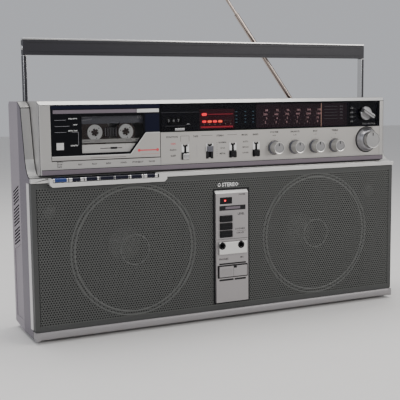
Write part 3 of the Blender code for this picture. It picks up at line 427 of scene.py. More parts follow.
# --- node-built repeats
class Repeats:
    """Geometry node trees for what repeats, each built once, sizes in millimetres."""

    GEOMETRY = "NodeSocketGeometry"
    FLOAT = "NodeSocketFloat"
    COUNT = "NodeSocketInt"
    VECTOR = "NodeSocketVector"
    MATERIAL = "NodeSocketMaterial"

    @classmethod
    def run(cls, name: str, values: dict[str, Any], points: Iterable[Sequence[float]] = ()) -> Mesh:
        """Grows one mesh from a tree.

        Args:
            name: the tree's name.
            values: value of each named input.
            points: places that the tree puts its copies at, where it takes them.

        Returns:
            A plain mesh with the material on it.
        """
        tree = bpy.data.node_groups.get(name) or getattr(cls, name)(name)
        mesh = bpy.data.meshes.new(name)
        mesh.from_pydata([tuple(p) for p in points], [], [])
        holder = link(bpy.data.objects.new(name, mesh))
        change = holder.modifiers.new(name, "NODES")
        change.node_group = tree
        sockets = {item.name: item.identifier for item in tree.interface.items_tree}
        for key, value in values.items():
            change[sockets[key]] = value
        return evaluated(holder)

    @classmethod
    def finish_tree(cls, tree: Any, given: Any, result: Any, instances: Any) -> Tree:
        """Ends a tree with real geometry that carries its material."""
        real = add_node(tree, "GeometryNodeRealizeInstances", {0: instances})
        coated = add_node(tree, "GeometryNodeSetMaterial", {0: real.outputs[0], "Material": given["Finish"]})
        tree.links.new(coated.outputs[0], result[0])
        return tree

    @classmethod
    def perforated_sheet(cls, name: str) -> Tree:
        """Staggered round holes in a sheet, with a plain gap and only one side of the middle."""
        inputs = {
            "Geometry": (cls.GEOMETRY, None),
            "Columns": (cls.COUNT, 10),
            "Rows": (cls.COUNT, 10),
            "Pitch": (cls.FLOAT, 3.5),
            "Hole Radius": (cls.FLOAT, 1.2),
            "Thickness": (cls.FLOAT, 0.8),
            "Side": (cls.FLOAT, 1.0),
            "Gap Low": (cls.VECTOR, (0.0, 0.0, 0.0)),
            "Gap High": (cls.VECTOR, (0.0, 0.0, 0.0)),
            "Finish": (cls.MATERIAL, None),
        }
        tree, given, result = new_tree(name, "GeometryNodeTree", inputs, {"Geometry": cls.GEOMETRY})
        pitch = given["Pitch"]
        rise = times(tree, pitch, math.sqrt(3.0) / 2.0)
        width = times(tree, math_node(tree, "SUBTRACT", given["Columns"], 1.0), pitch)
        height = times(tree, math_node(tree, "SUBTRACT", given["Rows"], 1.0), rise)
        grid = add_node(
            tree, "GeometryNodeMeshGrid",
            {"Size X": width, "Size Y": height, "Vertices X": given["Columns"], "Vertices Y": given["Rows"]},
        )
        place = add_node(
            tree, "ShaderNodeSeparateXYZ", {0: tree.nodes.new("GeometryNodeInputPosition").outputs[0]}
        ).outputs
        from_foot = math_node(tree, "ADD", place[1], times(tree, height, 0.5))
        row = math_node(tree, "ROUND", math_node(tree, "DIVIDE", from_foot, rise))
        odd = math_node(tree, "MODULO", row, 2.0)
        shift = add_node(
            tree, "ShaderNodeCombineXYZ",
            {0: times(tree, math_node(tree, "SUBTRACT", odd, 0.5), times(tree, pitch, 0.5))},
        )
        staggered = add_node(tree, "GeometryNodeSetPosition", {"Geometry": grid.outputs[0], "Offset": shift.outputs[0]})
        after = add_node(
            tree, "ShaderNodeSeparateXYZ", {0: tree.nodes.new("GeometryNodeInputPosition").outputs[0]}
        ).outputs
        low = add_node(tree, "ShaderNodeSeparateXYZ", {0: given["Gap Low"]}).outputs
        high = add_node(tree, "ShaderNodeSeparateXYZ", {0: given["Gap High"]}).outputs
        inside = 1.0
        for axis in (0, 1):
            inside = times(tree, inside, math_node(tree, "GREATER_THAN", after[axis], low[axis]))
            inside = times(tree, inside, math_node(tree, "LESS_THAN", after[axis], high[axis]))
        far = math_node(tree, "LESS_THAN", times(tree, after[0], given["Side"]), 0.0)
        dropped = math_node(tree, "MAXIMUM", inside, far)
        kept = add_node(
            tree, "GeometryNodeDeleteGeometry", {0: staggered.outputs[0], "Selection": dropped}, domain="POINT"
        )
        radius = math_node(tree, "DIVIDE", pitch, math.sqrt(3.0))
        face = add_node(tree, "GeometryNodeMeshCircle", {"Vertices": 6, "Radius": radius}, fill_type="NGON")
        ratio = math_node(tree, "DIVIDE", given["Hole Radius"], radius)
        ring = add_node(tree, "GeometryNodeExtrudeMesh", {"Mesh": face.outputs[0], "Offset Scale": 0.0}, mode="FACES")
        small = add_node(
            tree, "GeometryNodeScaleElements",
            {"Geometry": ring.outputs[0], "Selection": ring.outputs["Top"], "Scale": ratio},
        )
        wall = add_node(
            tree, "GeometryNodeExtrudeMesh",
            {
                "Mesh": small.outputs[0], "Selection": ring.outputs["Top"],
                "Offset Scale": times(tree, given["Thickness"], -1.0),
            },
            mode="FACES",
        )
        back = add_node(
            tree, "GeometryNodeExtrudeMesh",
            {"Mesh": wall.outputs[0], "Selection": wall.outputs["Top"], "Offset Scale": 0.0}, mode="FACES",
        )
        wide = add_node(
            tree, "GeometryNodeScaleElements",
            {
                "Geometry": back.outputs[0], "Selection": back.outputs["Top"],
                "Scale": math_node(tree, "DIVIDE", 1.0, ratio),
            },
        )
        cell = add_node(
            tree, "GeometryNodeDeleteGeometry", {0: wide.outputs[0], "Selection": back.outputs["Top"]}, domain="FACE"
        )
        turned = add_node(tree, "GeometryNodeTransform", {0: cell.outputs[0], "Rotation": (0.0, 0.0, math.pi / 6.0)})
        placed = add_node(
            tree, "GeometryNodeInstanceOnPoints", {"Points": kept.outputs[0], "Instance": turned.outputs[0]}
        )
        real = add_node(tree, "GeometryNodeRealizeInstances", {0: placed.outputs[0]})
        welded = add_node(tree, "GeometryNodeMergeByDistance", {0: real.outputs[0], "Distance": 0.01})
        return cls.finish_tree(tree, given, result, welded.outputs[0])

    @classmethod
    def bar_row(cls, name: str) -> Tree:
        """A straight row of equal bars."""
        inputs = {
            "Geometry": (cls.GEOMETRY, None),
            "Count": (cls.COUNT, 5),
            "Start": (cls.VECTOR, (0.0, 0.0, 0.0)),
            "Step": (cls.VECTOR, (0.0, 0.0, 1.0)),
            "Size": (cls.VECTOR, (1.0, 1.0, 1.0)),
            "Finish": (cls.MATERIAL, None),
        }
        tree, given, result = new_tree(name, "GeometryNodeTree", inputs, {"Geometry": cls.GEOMETRY})
        line = add_node(
            tree, "GeometryNodeMeshLine",
            {"Count": given["Count"], "Start Location": given["Start"], "Offset": given["Step"]},
        )
        bar = add_node(tree, "GeometryNodeMeshCube", {"Size": given["Size"]})
        placed = add_node(tree, "GeometryNodeInstanceOnPoints", {"Points": line.outputs[0], "Instance": bar.outputs[0]})
        return cls.finish_tree(tree, given, result, placed.outputs[0])

    @classmethod
    def knurl(cls, name: str) -> Tree:
        """Fine ribs round a knob, standing on a circle about Z."""
        inputs = {
            "Geometry": (cls.GEOMETRY, None),
            "Count": (cls.COUNT, 40),
            "Radius": (cls.FLOAT, 8.0),
            "Rib": (cls.VECTOR, (0.5, 0.4, 5.0)),
            "Finish": (cls.MATERIAL, None),
        }
        tree, given, result = new_tree(name, "GeometryNodeTree", inputs, {"Geometry": cls.GEOMETRY})
        circle = add_node(tree, "GeometryNodeMeshCircle", {"Vertices": given["Count"], "Radius": given["Radius"]})
        index = tree.nodes.new("GeometryNodeInputIndex").outputs[0]
        angle = times(tree, math_node(tree, "DIVIDE", index, given["Count"]), math.tau)
        turn = add_node(tree, "ShaderNodeCombineXYZ", {2: angle})
        rib = add_node(tree, "GeometryNodeMeshCube", {"Size": given["Rib"]})
        placed = add_node(
            tree, "GeometryNodeInstanceOnPoints",
            {"Points": circle.outputs[0], "Instance": rib.outputs[0], "Rotation": turn.outputs[0]},
        )
        return cls.finish_tree(tree, given, result, placed.outputs[0])

    @classmethod
    def scattered(cls, name: str) -> Tree:
        """Copies of one small part on given points, each turned by chance about the front-to-back axis."""
        inputs = {
            "Geometry": (cls.GEOMETRY, None),
            "Part": ("NodeSocketObject", None),
            "Seed": (cls.COUNT, 7),
            "Swing": (cls.FLOAT, math.tau),
            "Finish": (cls.MATERIAL, None),
        }
        tree, given, result = new_tree(name, "GeometryNodeTree", inputs, {"Geometry": cls.GEOMETRY})
        part = add_node(tree, "GeometryNodeObjectInfo", {"Object": given["Part"]})
        chance = add_node(
            tree, "FunctionNodeRandomValue", {"Max": given["Swing"], "Seed": given["Seed"]}, data_type="FLOAT"
        )
        turn = add_node(tree, "ShaderNodeCombineXYZ", {1: chance.outputs[1]})
        placed = add_node(
            tree, "GeometryNodeInstanceOnPoints",
            {"Points": given["Geometry"], "Instance": part.outputs["Geometry"], "Rotation": turn.outputs[0]},
        )
        return cls.finish_tree(tree, given, result, placed.outputs[0])


# --- mesh building
class Form:
    """Solids of one piece, gathered in millimetres and handed over as one mesh."""

    def __init__(self, name: str) -> None:
        """Starts an empty piece."""
        self.name = name
        self.bm = bmesh.new()
        self.finishes: list[bpy.types.Material] = []

    def index(self, finish: Finish) -> int:
        """Returns the material number of a finish on this piece."""
        made = finish.material()
        if made not in self.finishes:
            self.finishes.append(made)
        return self.finishes.index(made)

    def take(self, part: BMesh, finish: Finish, bevel: float = 0.0) -> None:
        """Cleans one solid, rounds its edges and adds it to the piece."""
        bmesh.ops.remove_doubles(part, verts=part.verts, dist=1e-4)
        bmesh.ops.recalc_face_normals(part, faces=part.faces)
        if bevel > 0.0:
            sharp = [e for e in part.edges if len(e.link_faces) == 2 and e.calc_face_angle(0.0) > BEVEL_ANGLE]
            bmesh.ops.bevel(part, geom=sharp, offset=bevel, segments=2, profile=0.5, affect="EDGES", clamp_overlap=True)
        number = self.index(finish)
        for face in part.faces:
            face.material_index = number
        self.absorb(part)

    def absorb(self, part: BMesh) -> None:
        """Moves a part's faces into the piece as they are."""
        scratch = bpy.data.meshes.new("scratch")
        part.to_mesh(scratch)
        part.free()
        self.bm.from_mesh(scratch)
        bpy.data.meshes.remove(scratch)

    def mesh(self, grown: Mesh, matrix: Matrix | None = None) -> "Form":
        """Adds a mesh that already carries its materials."""
        if matrix is not None:
            grown.transform(matrix)
            if matrix.determinant() < 0.0:
                grown.flip_normals()
        numbers = []
        for material in grown.materials:
            if material not in self.finishes:
                self.finishes.append(material)
            numbers.append(self.finishes.index(material))
        for polygon in grown.polygons:
            polygon.material_index = numbers[polygon.material_index] if numbers else 0
        self.bm.from_mesh(grown)
        bpy.data.meshes.remove(grown)
        return self

    def prism(
        self, outline: Outline, low: float, high: float, axis: Axis, finish: Finish, bevel: float = 0.0
    ) -> "Form":
        """Runs a closed outline along an axis.

        Args:
            outline: corner pairs in the plane across the axis, in the order across, back, up.
            low: start along the axis.
            high: end along the axis.
            axis: direction of the run.
            finish: finish of the solid.
            bevel: radius on its sharp edges.

        Returns:
            This piece.
        """
        part = bmesh.new()
        others = [i for i in range(3) if i != axis.value]

        def corner(u: float, v: float, w: float) -> Vector:
            """Puts a corner in its place."""
            point = Vector((0.0, 0.0, 0.0))
            point[others[0]], point[others[1]], point[axis.value] = u, v, w
            return point

        ends = [[part.verts.new(corner(u, v, w)) for u, v in outline] for w in (low, high)]
        part.faces.new(ends[0])
        part.faces.new(ends[1][::-1])
        count = len(outline)
        for i in range(count):
            part.faces.new((ends[0][i], ends[1][i], ends[1][(i + 1) % count], ends[0][(i + 1) % count]))
        self.take(part, finish, bevel)
        return self

    def block(self, xs: Span, ds: Span, zs: Span, finish: Finish, bevel: float = 0.0) -> "Form":
        """Adds a rectangular solid between two places each way."""
        outline = [(xs[0], zs[0]), (xs[1], zs[0]), (xs[1], zs[1]), (xs[0], zs[1])]
        return self.prism(outline, ds[0], ds[1], Axis.BACK, finish, bevel)

    def rounded(self, xs: Span, ds: Span, zs: Span, radius: float, finish: Finish, bevel: float = 0.0) -> "Form":
        """Adds a plate with rounded corners, seen from the front."""
        outline = []
        for cx, cz, start in ((xs[1], zs[0], -90), (xs[1], zs[1], 0), (xs[0], zs[1], 90), (xs[0], zs[0], 180)):
            ox = cx - math.copysign(radius, cx - sum(xs) / 2)
            oz = cz - math.copysign(radius, cz - sum(zs) / 2)
            for step in range(4):
                turn = math.radians(start + 30 * step)
                outline.append((ox + radius * math.cos(turn), oz + radius * math.sin(turn)))
        return self.prism(outline, ds[0], ds[1], Axis.BACK, finish, bevel)

    def lathe(
        self, profile: Outline, centre: Span, finish: Finish, axis: Axis = Axis.BACK, segs: int = 32,
        bevel: float = 0.0, ring: bool = False,
    ) -> "Form":
        """Turns a profile about an axis.

        Args:
            profile: radius and place along the axis of each corner.
            centre: where the axis stands, as the two other ways in the order across, back, up.
            finish: finish of the solid.
            axis: direction of the axis.
            segs: sides of the turned solid.
            bevel: radius on its sharp edges.
            ring: whether the profile closes on itself and not on the axis.

        Returns:
            This piece.
        """
        part = bmesh.new()
        verts = [part.verts.new((radius, 0.0, along)) for radius, along in profile]
        edges = [part.edges.new(pair) for pair in zip(verts, verts[1:])]
        if ring:
            edges.append(part.edges.new((verts[-1], verts[0])))
        bmesh.ops.spin(
            part, geom=verts + edges, cent=(0, 0, 0), axis=(0, 0, 1), angle=math.tau, steps=segs, use_merge=True
        )
        others = [i for i in range(3) if i != axis.value]
        turn = Matrix.Identity(4)
        for row in range(3):
            for column in range(3):
                turn[row][column] = 1.0 if (column, row) in ((0, others[0]), (1, others[1]), (2, axis.value)) else 0.0
        turn[others[0]][3], turn[others[1]][3] = centre
        bmesh.ops.transform(part, matrix=turn, verts=part.verts)
        self.take(part, finish, bevel)
        return self

    def rod(
        self, radius: float, span: Span, centre: Span, finish: Finish, axis: Axis = Axis.BACK, segs: int = 20,
        bevel: float = 0.0,
    ) -> "Form":
        """Adds a round bar."""
        return self.lathe(
            [(0, span[0]), (radius, span[0]), (radius, span[1]), (0, span[1])], centre, finish, axis, segs, bevel
        )

    def washer(
        self, radii: Span, span: Span, centre: Span, finish: Finish, axis: Axis = Axis.BACK, segs: int = 24,
        bevel: float = 0.0,
    ) -> "Form":
        """Adds a flat ring."""
        (inner, outer), (low, high) = radii, span
        corners = [(inner, low), (outer, low), (outer, high), (inner, high)]
        return self.lathe(corners, centre, finish, axis, segs, bevel, ring=True)

    def words(
        self, text: str, x: float, z: float, d: float, cap: float, finish: Finish, align: str = "CENTER",
        behind: bool = False,
    ) -> "Form":
        """Prints a word as a thin raised layer.

        Args:
            text: the word or number.
            x: middle, or the end that align names, across.
            z: foot of the letters.
            d: depth of the face it is printed on.
            cap: height of a capital.
            finish: ink.
            align: which end stands at x.
            behind: whether the face looks to the back.

        Returns:
            This piece.
        """
        curve = bpy.data.curves.new("word", "FONT")
        curve.body, curve.size, curve.extrude = text, cap / 0.7, 0.03
        curve.align_x, curve.resolution_u, curve.offset = align, 1, cap * 0.035
        grown = evaluated(link(bpy.data.objects.new("word", curve)))
        bpy.data.curves.remove(curve)
        facing = Matrix(((1, 0, 0, x), (0, 0, -1, d), (0, 1, 0, z), (0, 0, 0, 1)))
        if behind:
            facing = Matrix(((-1, 0, 0, x), (0, 0, 1, d), (0, 1, 0, z), (0, 0, 0, 1)))
        grown.transform(facing)
        grown.materials.clear()
        part = bmesh.new()
        part.from_mesh(grown)
        bpy.data.meshes.remove(grown)
        self.take(part, finish)
        return self

    def stroke(self, points: Outline, width: float, d: float, finish: Finish, rise: float = 0.05) -> "Form":
        """Prints a thin line through points given across and up."""
        for (x0, z0), (x1, z1) in zip(points, points[1:]):
            length = math.hypot(x1 - x0, z1 - z0)
            nx, nz = -(z1 - z0) / length * width / 2, (x1 - x0) / length * width / 2
            self.prism(
                [(x0 + nx, z0 + nz), (x0 - nx, z0 - nz), (x1 - nx, z1 - nz), (x1 + nx, z1 + nz)], d - rise, d + rise,
                Axis.BACK, finish,
            )
        return self

    def level(self, x0: float, x1: float, z: float, width: float, d: float, finish: Finish) -> "Form":
        """Prints a level line."""
        return self.stroke([(x0, z), (x1, z)], width, d, finish)

    def marks(self, ds: Span, finish: Finish, *places: tuple[float, float, float, float], bevel: float = 0.0) -> "Form":
        """Adds blocks of one depth and finish, each given as left, right, foot and top."""
        for left, right, foot, top in places:
            self.block((left, right), ds, (foot, top), finish, bevel)
        return self

    def cad(
        self, node: str, skin: "Finish | Chooser", bevel: float = 0.0, where: Callable[[Vector], bool] | None = None
    ) -> "Form":
        """Adds a copy of a frame solid, with a finish for each face.

        Args:
            node: name of the solid.
            skin: its finish, or what picks one from a face's middle and its normal.
            bevel: radius on its sharp edges.
            where: limits the rounding to edges whose middle it accepts.

        Returns:
            This piece.
        """
        part = bmesh.new()
        part.from_mesh(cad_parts[node].data)
        for face in part.faces:
            face.material_index = 0
        bmesh.ops.remove_doubles(part, verts=part.verts, dist=2e-6)
        bmesh.ops.transform(part, matrix=TO_METRES.inverted(), verts=part.verts)
        bmesh.ops.dissolve_limit(part, angle_limit=math.radians(0.6), verts=part.verts, edges=part.edges)
        bmesh.ops.recalc_face_normals(part, faces=part.faces)
        for face in part.faces:
            finish = skin if isinstance(skin, Finish) else skin(face.calc_center_median(), face.normal)
            face.material_index = self.index(finish)
        if bevel > 0.0:
            sharp = [e for e in part.edges if len(e.link_faces) == 2 and e.calc_face_angle(0.0) > BEVEL_ANGLE]
            if where is not None:
                sharp = [e for e in sharp if where((e.verts[0].co + e.verts[1].co) / 2)]
            bmesh.ops.bevel(
                part, geom=sharp, offset=bevel, segments=2, profile=0.5, affect="EDGES", clamp_overlap=False
            )
        self.absorb(part)
        return self

    def loose(self, name: str) -> Object:
        """Hands the piece over as an object still in millimetres."""
        mesh = bpy.data.meshes.new(name)
        self.bm.to_mesh(mesh)
        self.bm.free()
        for material in self.finishes:
            mesh.materials.append(material)
        return link(bpy.data.objects.new(name, mesh))

    def join(self, other: "Form") -> "Form":
        """Adds another form's solids with their finishes."""
        made = other.loose("joined")
        mesh = made.data
        bpy.data.objects.remove(made)
        return self.mesh(mesh)

    def carve(self, tool: "Form") -> "Form":
        """Takes another form's solids away from this one, keeping the tool's finish on the cut."""
        body, cutter = self.loose("carved"), tool.loose("cutter")
        change = body.modifiers.new("carve", "BOOLEAN")
        change.operation, change.solver, change.object = "DIFFERENCE", "EXACT", cutter
        change.material_mode = "TRANSFER"
        result = evaluated(body)
        bpy.data.objects.remove(cutter)
        self.bm, self.finishes = bmesh.new(), []
        return self.mesh(result)

    def screws(self, points: Iterable[Sequence[float]], radius: float, finish: Finish, forward: bool = True) -> "Form":
        """Sets cross-head screws on points, looking to the front or the back."""
        way = -1.0 if forward else 1.0
        head = Form("screw_head")
        head.lathe(
            [(0, 0), (radius, 0), (radius, 0.5 * way), (radius * 0.6, 0.95 * way), (0, 1.05 * way)], (0, 0), finish,
            segs=14,
        )
        cross = Form("screw_cross")
        for long, short in ((radius * 0.62, radius * 0.13), (radius * 0.13, radius * 0.62)):
            cross.block((-long, long), tuple(sorted((0.55 * way, 2 * way))), (-short, short), Paint.BLACK)
        part = head.carve(cross).loose("screw_part")
        grown = Repeats.run("scattered", {"Part": part, "Finish": finish.material()}, points)
        bpy.data.objects.remove(part)
        return self.mesh(grown)

    def make(self, body: str, slot: str, *nodes: str, smooth: bool = True) -> Object:
        """Finishes the piece and hangs it on its body.

        Args:
            body: body of the frame that carries it.
            slot: not used.
            *nodes: frame solids that it stands for.
            smooth: whether rounded faces are shaded as one.

        Returns:
            The finished object.
        """
        mesh = bpy.data.meshes.new(self.name)
        self.bm.to_mesh(mesh)
        self.bm.free()
        for material in self.finishes:
            mesh.materials.append(material)
        mesh.transform(TO_METRES)
        if smooth:
            mesh.shade_smooth()
            mesh.set_sharp_from_angle(angle=SMOOTH_ANGLE)
            raw = link(bpy.data.objects.new(self.name + "_raw", mesh))
            change = raw.modifiers.new("even_shading", "WEIGHTED_NORMAL")
            change.keep_sharp = True
            evened = evaluated(raw)
            bpy.data.meshes.remove(mesh)
            mesh = evened
        mesh.name = self.name
        made = link(bpy.data.objects.new(self.name, mesh))
        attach(made, body)
        if nodes:
            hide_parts(*nodes)
        log.info("%s: %d faces on %s", self.name, len(mesh.polygons), body)
        return made


def coat(node: str, finish: Finish) -> None:
    """Gives a frame solid that stays in view a finish of its own."""
    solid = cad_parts[node]
    if not solid.material_slots:
        solid.data.materials.append(finish.material())
    for place in solid.material_slots:
        place.material = finish.material()
    log.info("%s: finished as %s", node, finish.name)


# --- the case
@dataclass
class CaseFront:
    """Front moulding of the case: baffle, silver ledge and the two leaning cheeks."""

    half: float = 278.0
    ledge_foot: float = 204.6
    seam: float = 60.0

    def face(self, middle: Vector, normal: Vector) -> Finish:
        """Picks the finish of a face of the front moulding."""
        if middle.z < 5.6 and 23.9 < middle.y < 44.1 and 213.9 < abs(middle.x) < 244.1:
            return Paint.RUBBER
        # Front corners of the cheeks take the pale strip, a painted highlight.
        if abs(normal.x) > 0.9 and normal.y < -0.03 and 277 < abs(middle.x) and middle.y < 27.5:
            return Paint.EDGE
        if abs(normal.x) > 0.97 and abs(middle.x) > self.half - 0.5:
            return Paint.SIDE
        outward = normal.y < -0.2 or normal.z > 0.3 or (abs(normal.x) > 0.9 and abs(middle.x) > 265)
        if middle.z > self.ledge_foot and outward and middle.y < self.seam + 0.1:
            # The ledge below 234 takes pale silver as a painted highlight where it faces the light; above it, plain
            # silver paint.
            return Paint.BRIGHT if middle.z < 234 else Paint.SILVER
        return Paint.BLACK

    def outer(self, point: Vector) -> bool:
        """Accepts the edges that show from outside."""
        inside = abs(point.x) < self.half - 12.9 and point.z > 213
        return abs(point.x) > 264 and not inside and (point.y > 28 or point.z > 205)

    def build(self) -> None:
        """Makes the front moulding."""
        form = Form("case_front").cad("front_cabinet", self.face, 0.8, self.outer)
        form.make("cabinet", "side_plastic", "front_cabinet")


@dataclass
class CaseRear:
    """Rear moulding with its side vents, back vents, recesses and screws."""

    half: float = 278.0
    back: float = 108.0
    vent_groups: tuple[tuple[float, int], ...] = ((198.0, 5), (173.5, 6), (144.5, 5))
    vent_pitch: float = 4.3
    vent_depth: Span = (67.0, 97.0)
    vent_rise: float = 11.0
    screw_places: tuple[Span, ...] = (
        (-262, 268), (262, 268), (-262, 150), (262, 150), (-262, 22), (262, 22), (-60, 268), (70, 268)
    )

    def face(self, middle: Vector, normal: Vector) -> Finish:
        """Picks the finish of a face of the rear moulding."""
        if middle.z < 3.9:
            return Paint.RUBBER
        if 92 < middle.y < 108.5 and middle.z > 285 and -161 < middle.x < 176:
            return Paint.BLACK
        shell = abs(middle.x) > self.half - 0.5 or middle.y > self.back - 0.6 or middle.z > 302.5 or middle.z < 8.6
        return Paint.REAR if shell or (normal.y > 0.3 and middle.y > 100) else Paint.BLACK

    def cuts(self) -> Form:
        """Builds the slots and recesses that are taken out of the shell."""
        tool = Form("rear_cuts")
        for side in (-1, 1):
            reach = (side * (self.half - 1.9), side * (self.half + 2))
            for top, count in self.vent_groups:
                for step in range(count):
                    z = top - step * self.vent_pitch
                    slot = [(self.vent_depth[0], z), (self.vent_depth[1], z - self.vent_rise)]
                    slot += [(self.vent_depth[1], z - self.vent_rise - 2.2), (self.vent_depth[0], z - 2.2)]
                    tool.prism(slot, min(reach), max(reach), Axis.ACROSS, Paint.BLACK)
            reach = (side * (self.half - 0.9), side * (self.half + 2))
            tool.prism([(66, 18), (99, 18), (99, 109), (66, 121)], min(reach), max(reach), Axis.ACROSS, Paint.REAR)
        for x, z in self.screw_places:
            tool.rod(5.2, (self.back - 1.8, self.back + 2), (x, z), Paint.REAR, segs=24)
        for x0 in (-238, 118):
            for step in range(13):
                z = 180 + step * 6
                tool.block((x0, x0 + 120), (self.back - 1.9, self.back + 2), (z, z + 2.6), Paint.BLACK)
        tool.block((-70, 70), (self.back - 0.7, self.back + 2), (196, 236), Paint.REAR)
        return tool

    def build(self) -> None:
        """Makes the rear moulding and what is fixed to it."""
        def edge(point: Vector) -> bool:
            """Accepts the outer edges of the shell."""
            return (abs(point.x) > self.half - 0.2 or point.y > self.back - 0.2) and 8 < point.z < 306.9

        form = Form("case_rear").cad("rear_cabinet", self.face, 0.7, edge).carve(self.cuts())
        form.screws([(x, self.back - 1.8, z) for x, z in self.screw_places], 3.6, Paint.STEEL, forward=False)
        form.rounded((-66, 66), (self.back - 0.8, self.back - 0.35), (199, 233), 3, Paint.STEEL)
        for row, width in enumerate((92, 110, 74, 100)):
            form.stroke([(60, 226 - row * 6.5), (60 - width, 226 - row * 6.5)], 0.8, self.back - 0.33, Paint.PRINT)
        form.words("BATTERIES  1.5 V x 8", 0, 92, self.back - 0.04, 3.2, Paint.GREY, behind=True)
        form.words("AC IN", 205, 92, self.back - 0.04, 3, Paint.GREY, behind=True)
        form.make("cabinet", "rear_plastic", "rear_cabinet")


@dataclass
class Grille:
    """Perforated steel sheet with a plain rim, folded back round its edge."""

    across: Span = (-277.6, 277.6)
    up: Span = (15.5, 204.9)
    face: float = 3.0
    margin: float = 5.0
    pitch: float = 3.5
    hole: float = 1.08
    thickness: float = 0.9
    column: tuple[float, float, float, float] = (-23.8, 25.7, 26.8, 182.7)
    tray: Span = (-256.4, -96.6)
    ring: Span = (141.0, 111.0)

    def half_sheet(self, side: int) -> Mesh:
        """Grows the perforated field on one side of the middle."""
        width = self.across[1] - self.across[0] - 2 * self.margin
        height = self.up[1] - self.up[0] - 2 * self.margin
        x0, z0, x1, z1 = self.column
        middle = Vector((sum(self.across) / 2, sum(self.up) / 2))
        values = {
            "Columns": int(width / self.pitch),
            "Rows": int(height / (self.pitch * math.sqrt(3) / 2)) + 1,
            "Pitch": self.pitch,
            "Hole Radius": self.hole,
            "Thickness": self.thickness,
            "Side": float(side),
            "Gap Low": (x0 + 0.4 - middle.x, z0 + 1.0 - middle.y, 0.0),
            "Gap High": (x1 - 0.4 - middle.x, z1 - 1.0 - middle.y, 0.0),
            "Finish": Paint.GRILLE.material(),
        }
        grown = Repeats.run("perforated_sheet", values)
        grown.transform(Matrix(((1, 0, 0, middle.x), (0, 0, -1, self.face + 0.1), (0, 1, 0, middle.y), (0, 0, 0, 1))))
        return grown

    def build(self) -> None:
        """Makes the two perforated fields and the folded rim."""
        for side, name in ((-1, "grille_field_left"), (1, "grille_field_right")):
            Form(name).mesh(self.half_sheet(side)).make("cabinet", "grille_steel", smooth=False)
        rim = Form("grille_rim")
        (x0, x1), (z0, z1), m = self.across, self.up, self.margin + 1.2
        depth = (self.face, self.face + 1.2)
        t0, t1 = self.tray
        # The plain border and folds are painted darker than the field as painted shade.
        skin, fold = Paint.GRILLE_RIM, 1.2
        rim.marks(depth, skin, (x0, x0 + m, z0, z1), (x1 - m, x1, z0, z1), bevel=0.4)
        rim.marks(depth, skin, (x0 + m, x1 - m, z0, z0 + m), (t1, x1 - m, z1 - m, z1))
        rim.marks(depth, skin, (x0 + m, t0, z1 - m, z1), (t0, t1, z1 - m - 4, 199.6))
        sides = ((x0, x0 + fold, z0, z1), (x1 - fold, x1, z0, z1))
        rim.marks((self.face + 0.6, 14.5), skin, *sides, (x0, x1, z0, z0 + fold), (t1, x1, z1 - fold, z1))
        for side in (-1, 1):
            # Rings in lighter enamel: painted highlights standing for the woofer rims and domes behind the grille.
            place, d = (side * self.ring[0], self.ring[1]), self.face
            for r, lift in ((87.6, 0.4), (82.6, 0.25)):
                swell = [(r - 1.1, d + 0.08), (r - 0.4, d - lift), (r + 0.4, d - lift), (r + 1.1, d + 0.08)]
                rim.lathe([*swell, (r + 1.1, d + 0.5), (r - 1.1, d + 0.5)], place, Paint.RING, ring=True, segs=96)
            small = [(19.4, d + 0.1), (20, d - 0.15), (20.6, d + 0.1), (20, d + 0.4)]
            rim.lathe(small, place, Paint.RING, ring=True, segs=64)
            left, right = sorted((side * 232, side * 269))
            level = ((left, right, 106.8, 108), (left, right, 26, 27.2))
            rim.marks((8, 14.9), skin, *level, (left, left + fold, 26, 108), (right - fold, right, 26, 108))
        cx0, cz0, cx1, cz1 = self.column
        # Black strips round the column, painted as the shadow in the gap beside it.
        posts = ((cx0 - 2, cx0 + 0.2, cz0 - 2, cz1 + 2), (cx1 + 0.9, cx1 + 3.4, cz0 - 2, cz1 + 2))
        bars = ((cx0, cx1 + 1, cz0 - 2, cz0 - 0.2), (cx0, cx1 + 1, cz1 + 0.2, cz1 + 2))
        rim.marks((self.face - 0.6, self.face + 1.5), Paint.BLACK, *posts, *bars)
        rim.rod(2.5, (1.8, 3.6), (-16.8, 190), Paint.CHROME, bevel=0.3)
        rim.rod(1.2, (1.6, 3.6), (-16.8, 190), Paint.BLACK, segs=16)
        rim.words("STEREO", -12.4, 187.6, 2.6, 5.2, Paint.WHITE, "LEFT")
        rim.make("cabinet", "grille_steel", "speaker_grille")


@dataclass
class Trim:
    """Silver mouldings: the ledge rim with its key tray, lightened by a painted highlight, and the foot strip."""

    well: Span = (-251.5, -108.7)

    def rim_face(self, middle: Vector, normal: Vector) -> Finish:
        """Picks pale silver with a painted highlight outside and black inside the key well."""
        inside = self.well[0] < middle.x < self.well[1] and -4.2 < middle.y and 201.9 < middle.z < 210
        return Paint.BLACK if inside else Paint.BRIGHT

    def build(self) -> None:
        """Makes both mouldings."""
        Form("ledge_moulding").cad("ledge_rim", self.rim_face, 0.5).make("cabinet", "silver_plastic", "ledge_rim")
        foot = Form("foot_strip").cad("bottom_trim", Paint.TRIM, 0.5)
        for side in (-1, 1):
            corner = [
                (side * 277.5, 0.4), (side * 277.9, 3), (side * 277.9, 14.4), (side * 272, 14.4), (side * 272, 0.4)
            ]
            foot.prism(corner, 4.4, 14.8, Axis.UP, Paint.TRIM, 0.4)
        foot.make("cabinet", "silver_plastic", "bottom_trim")


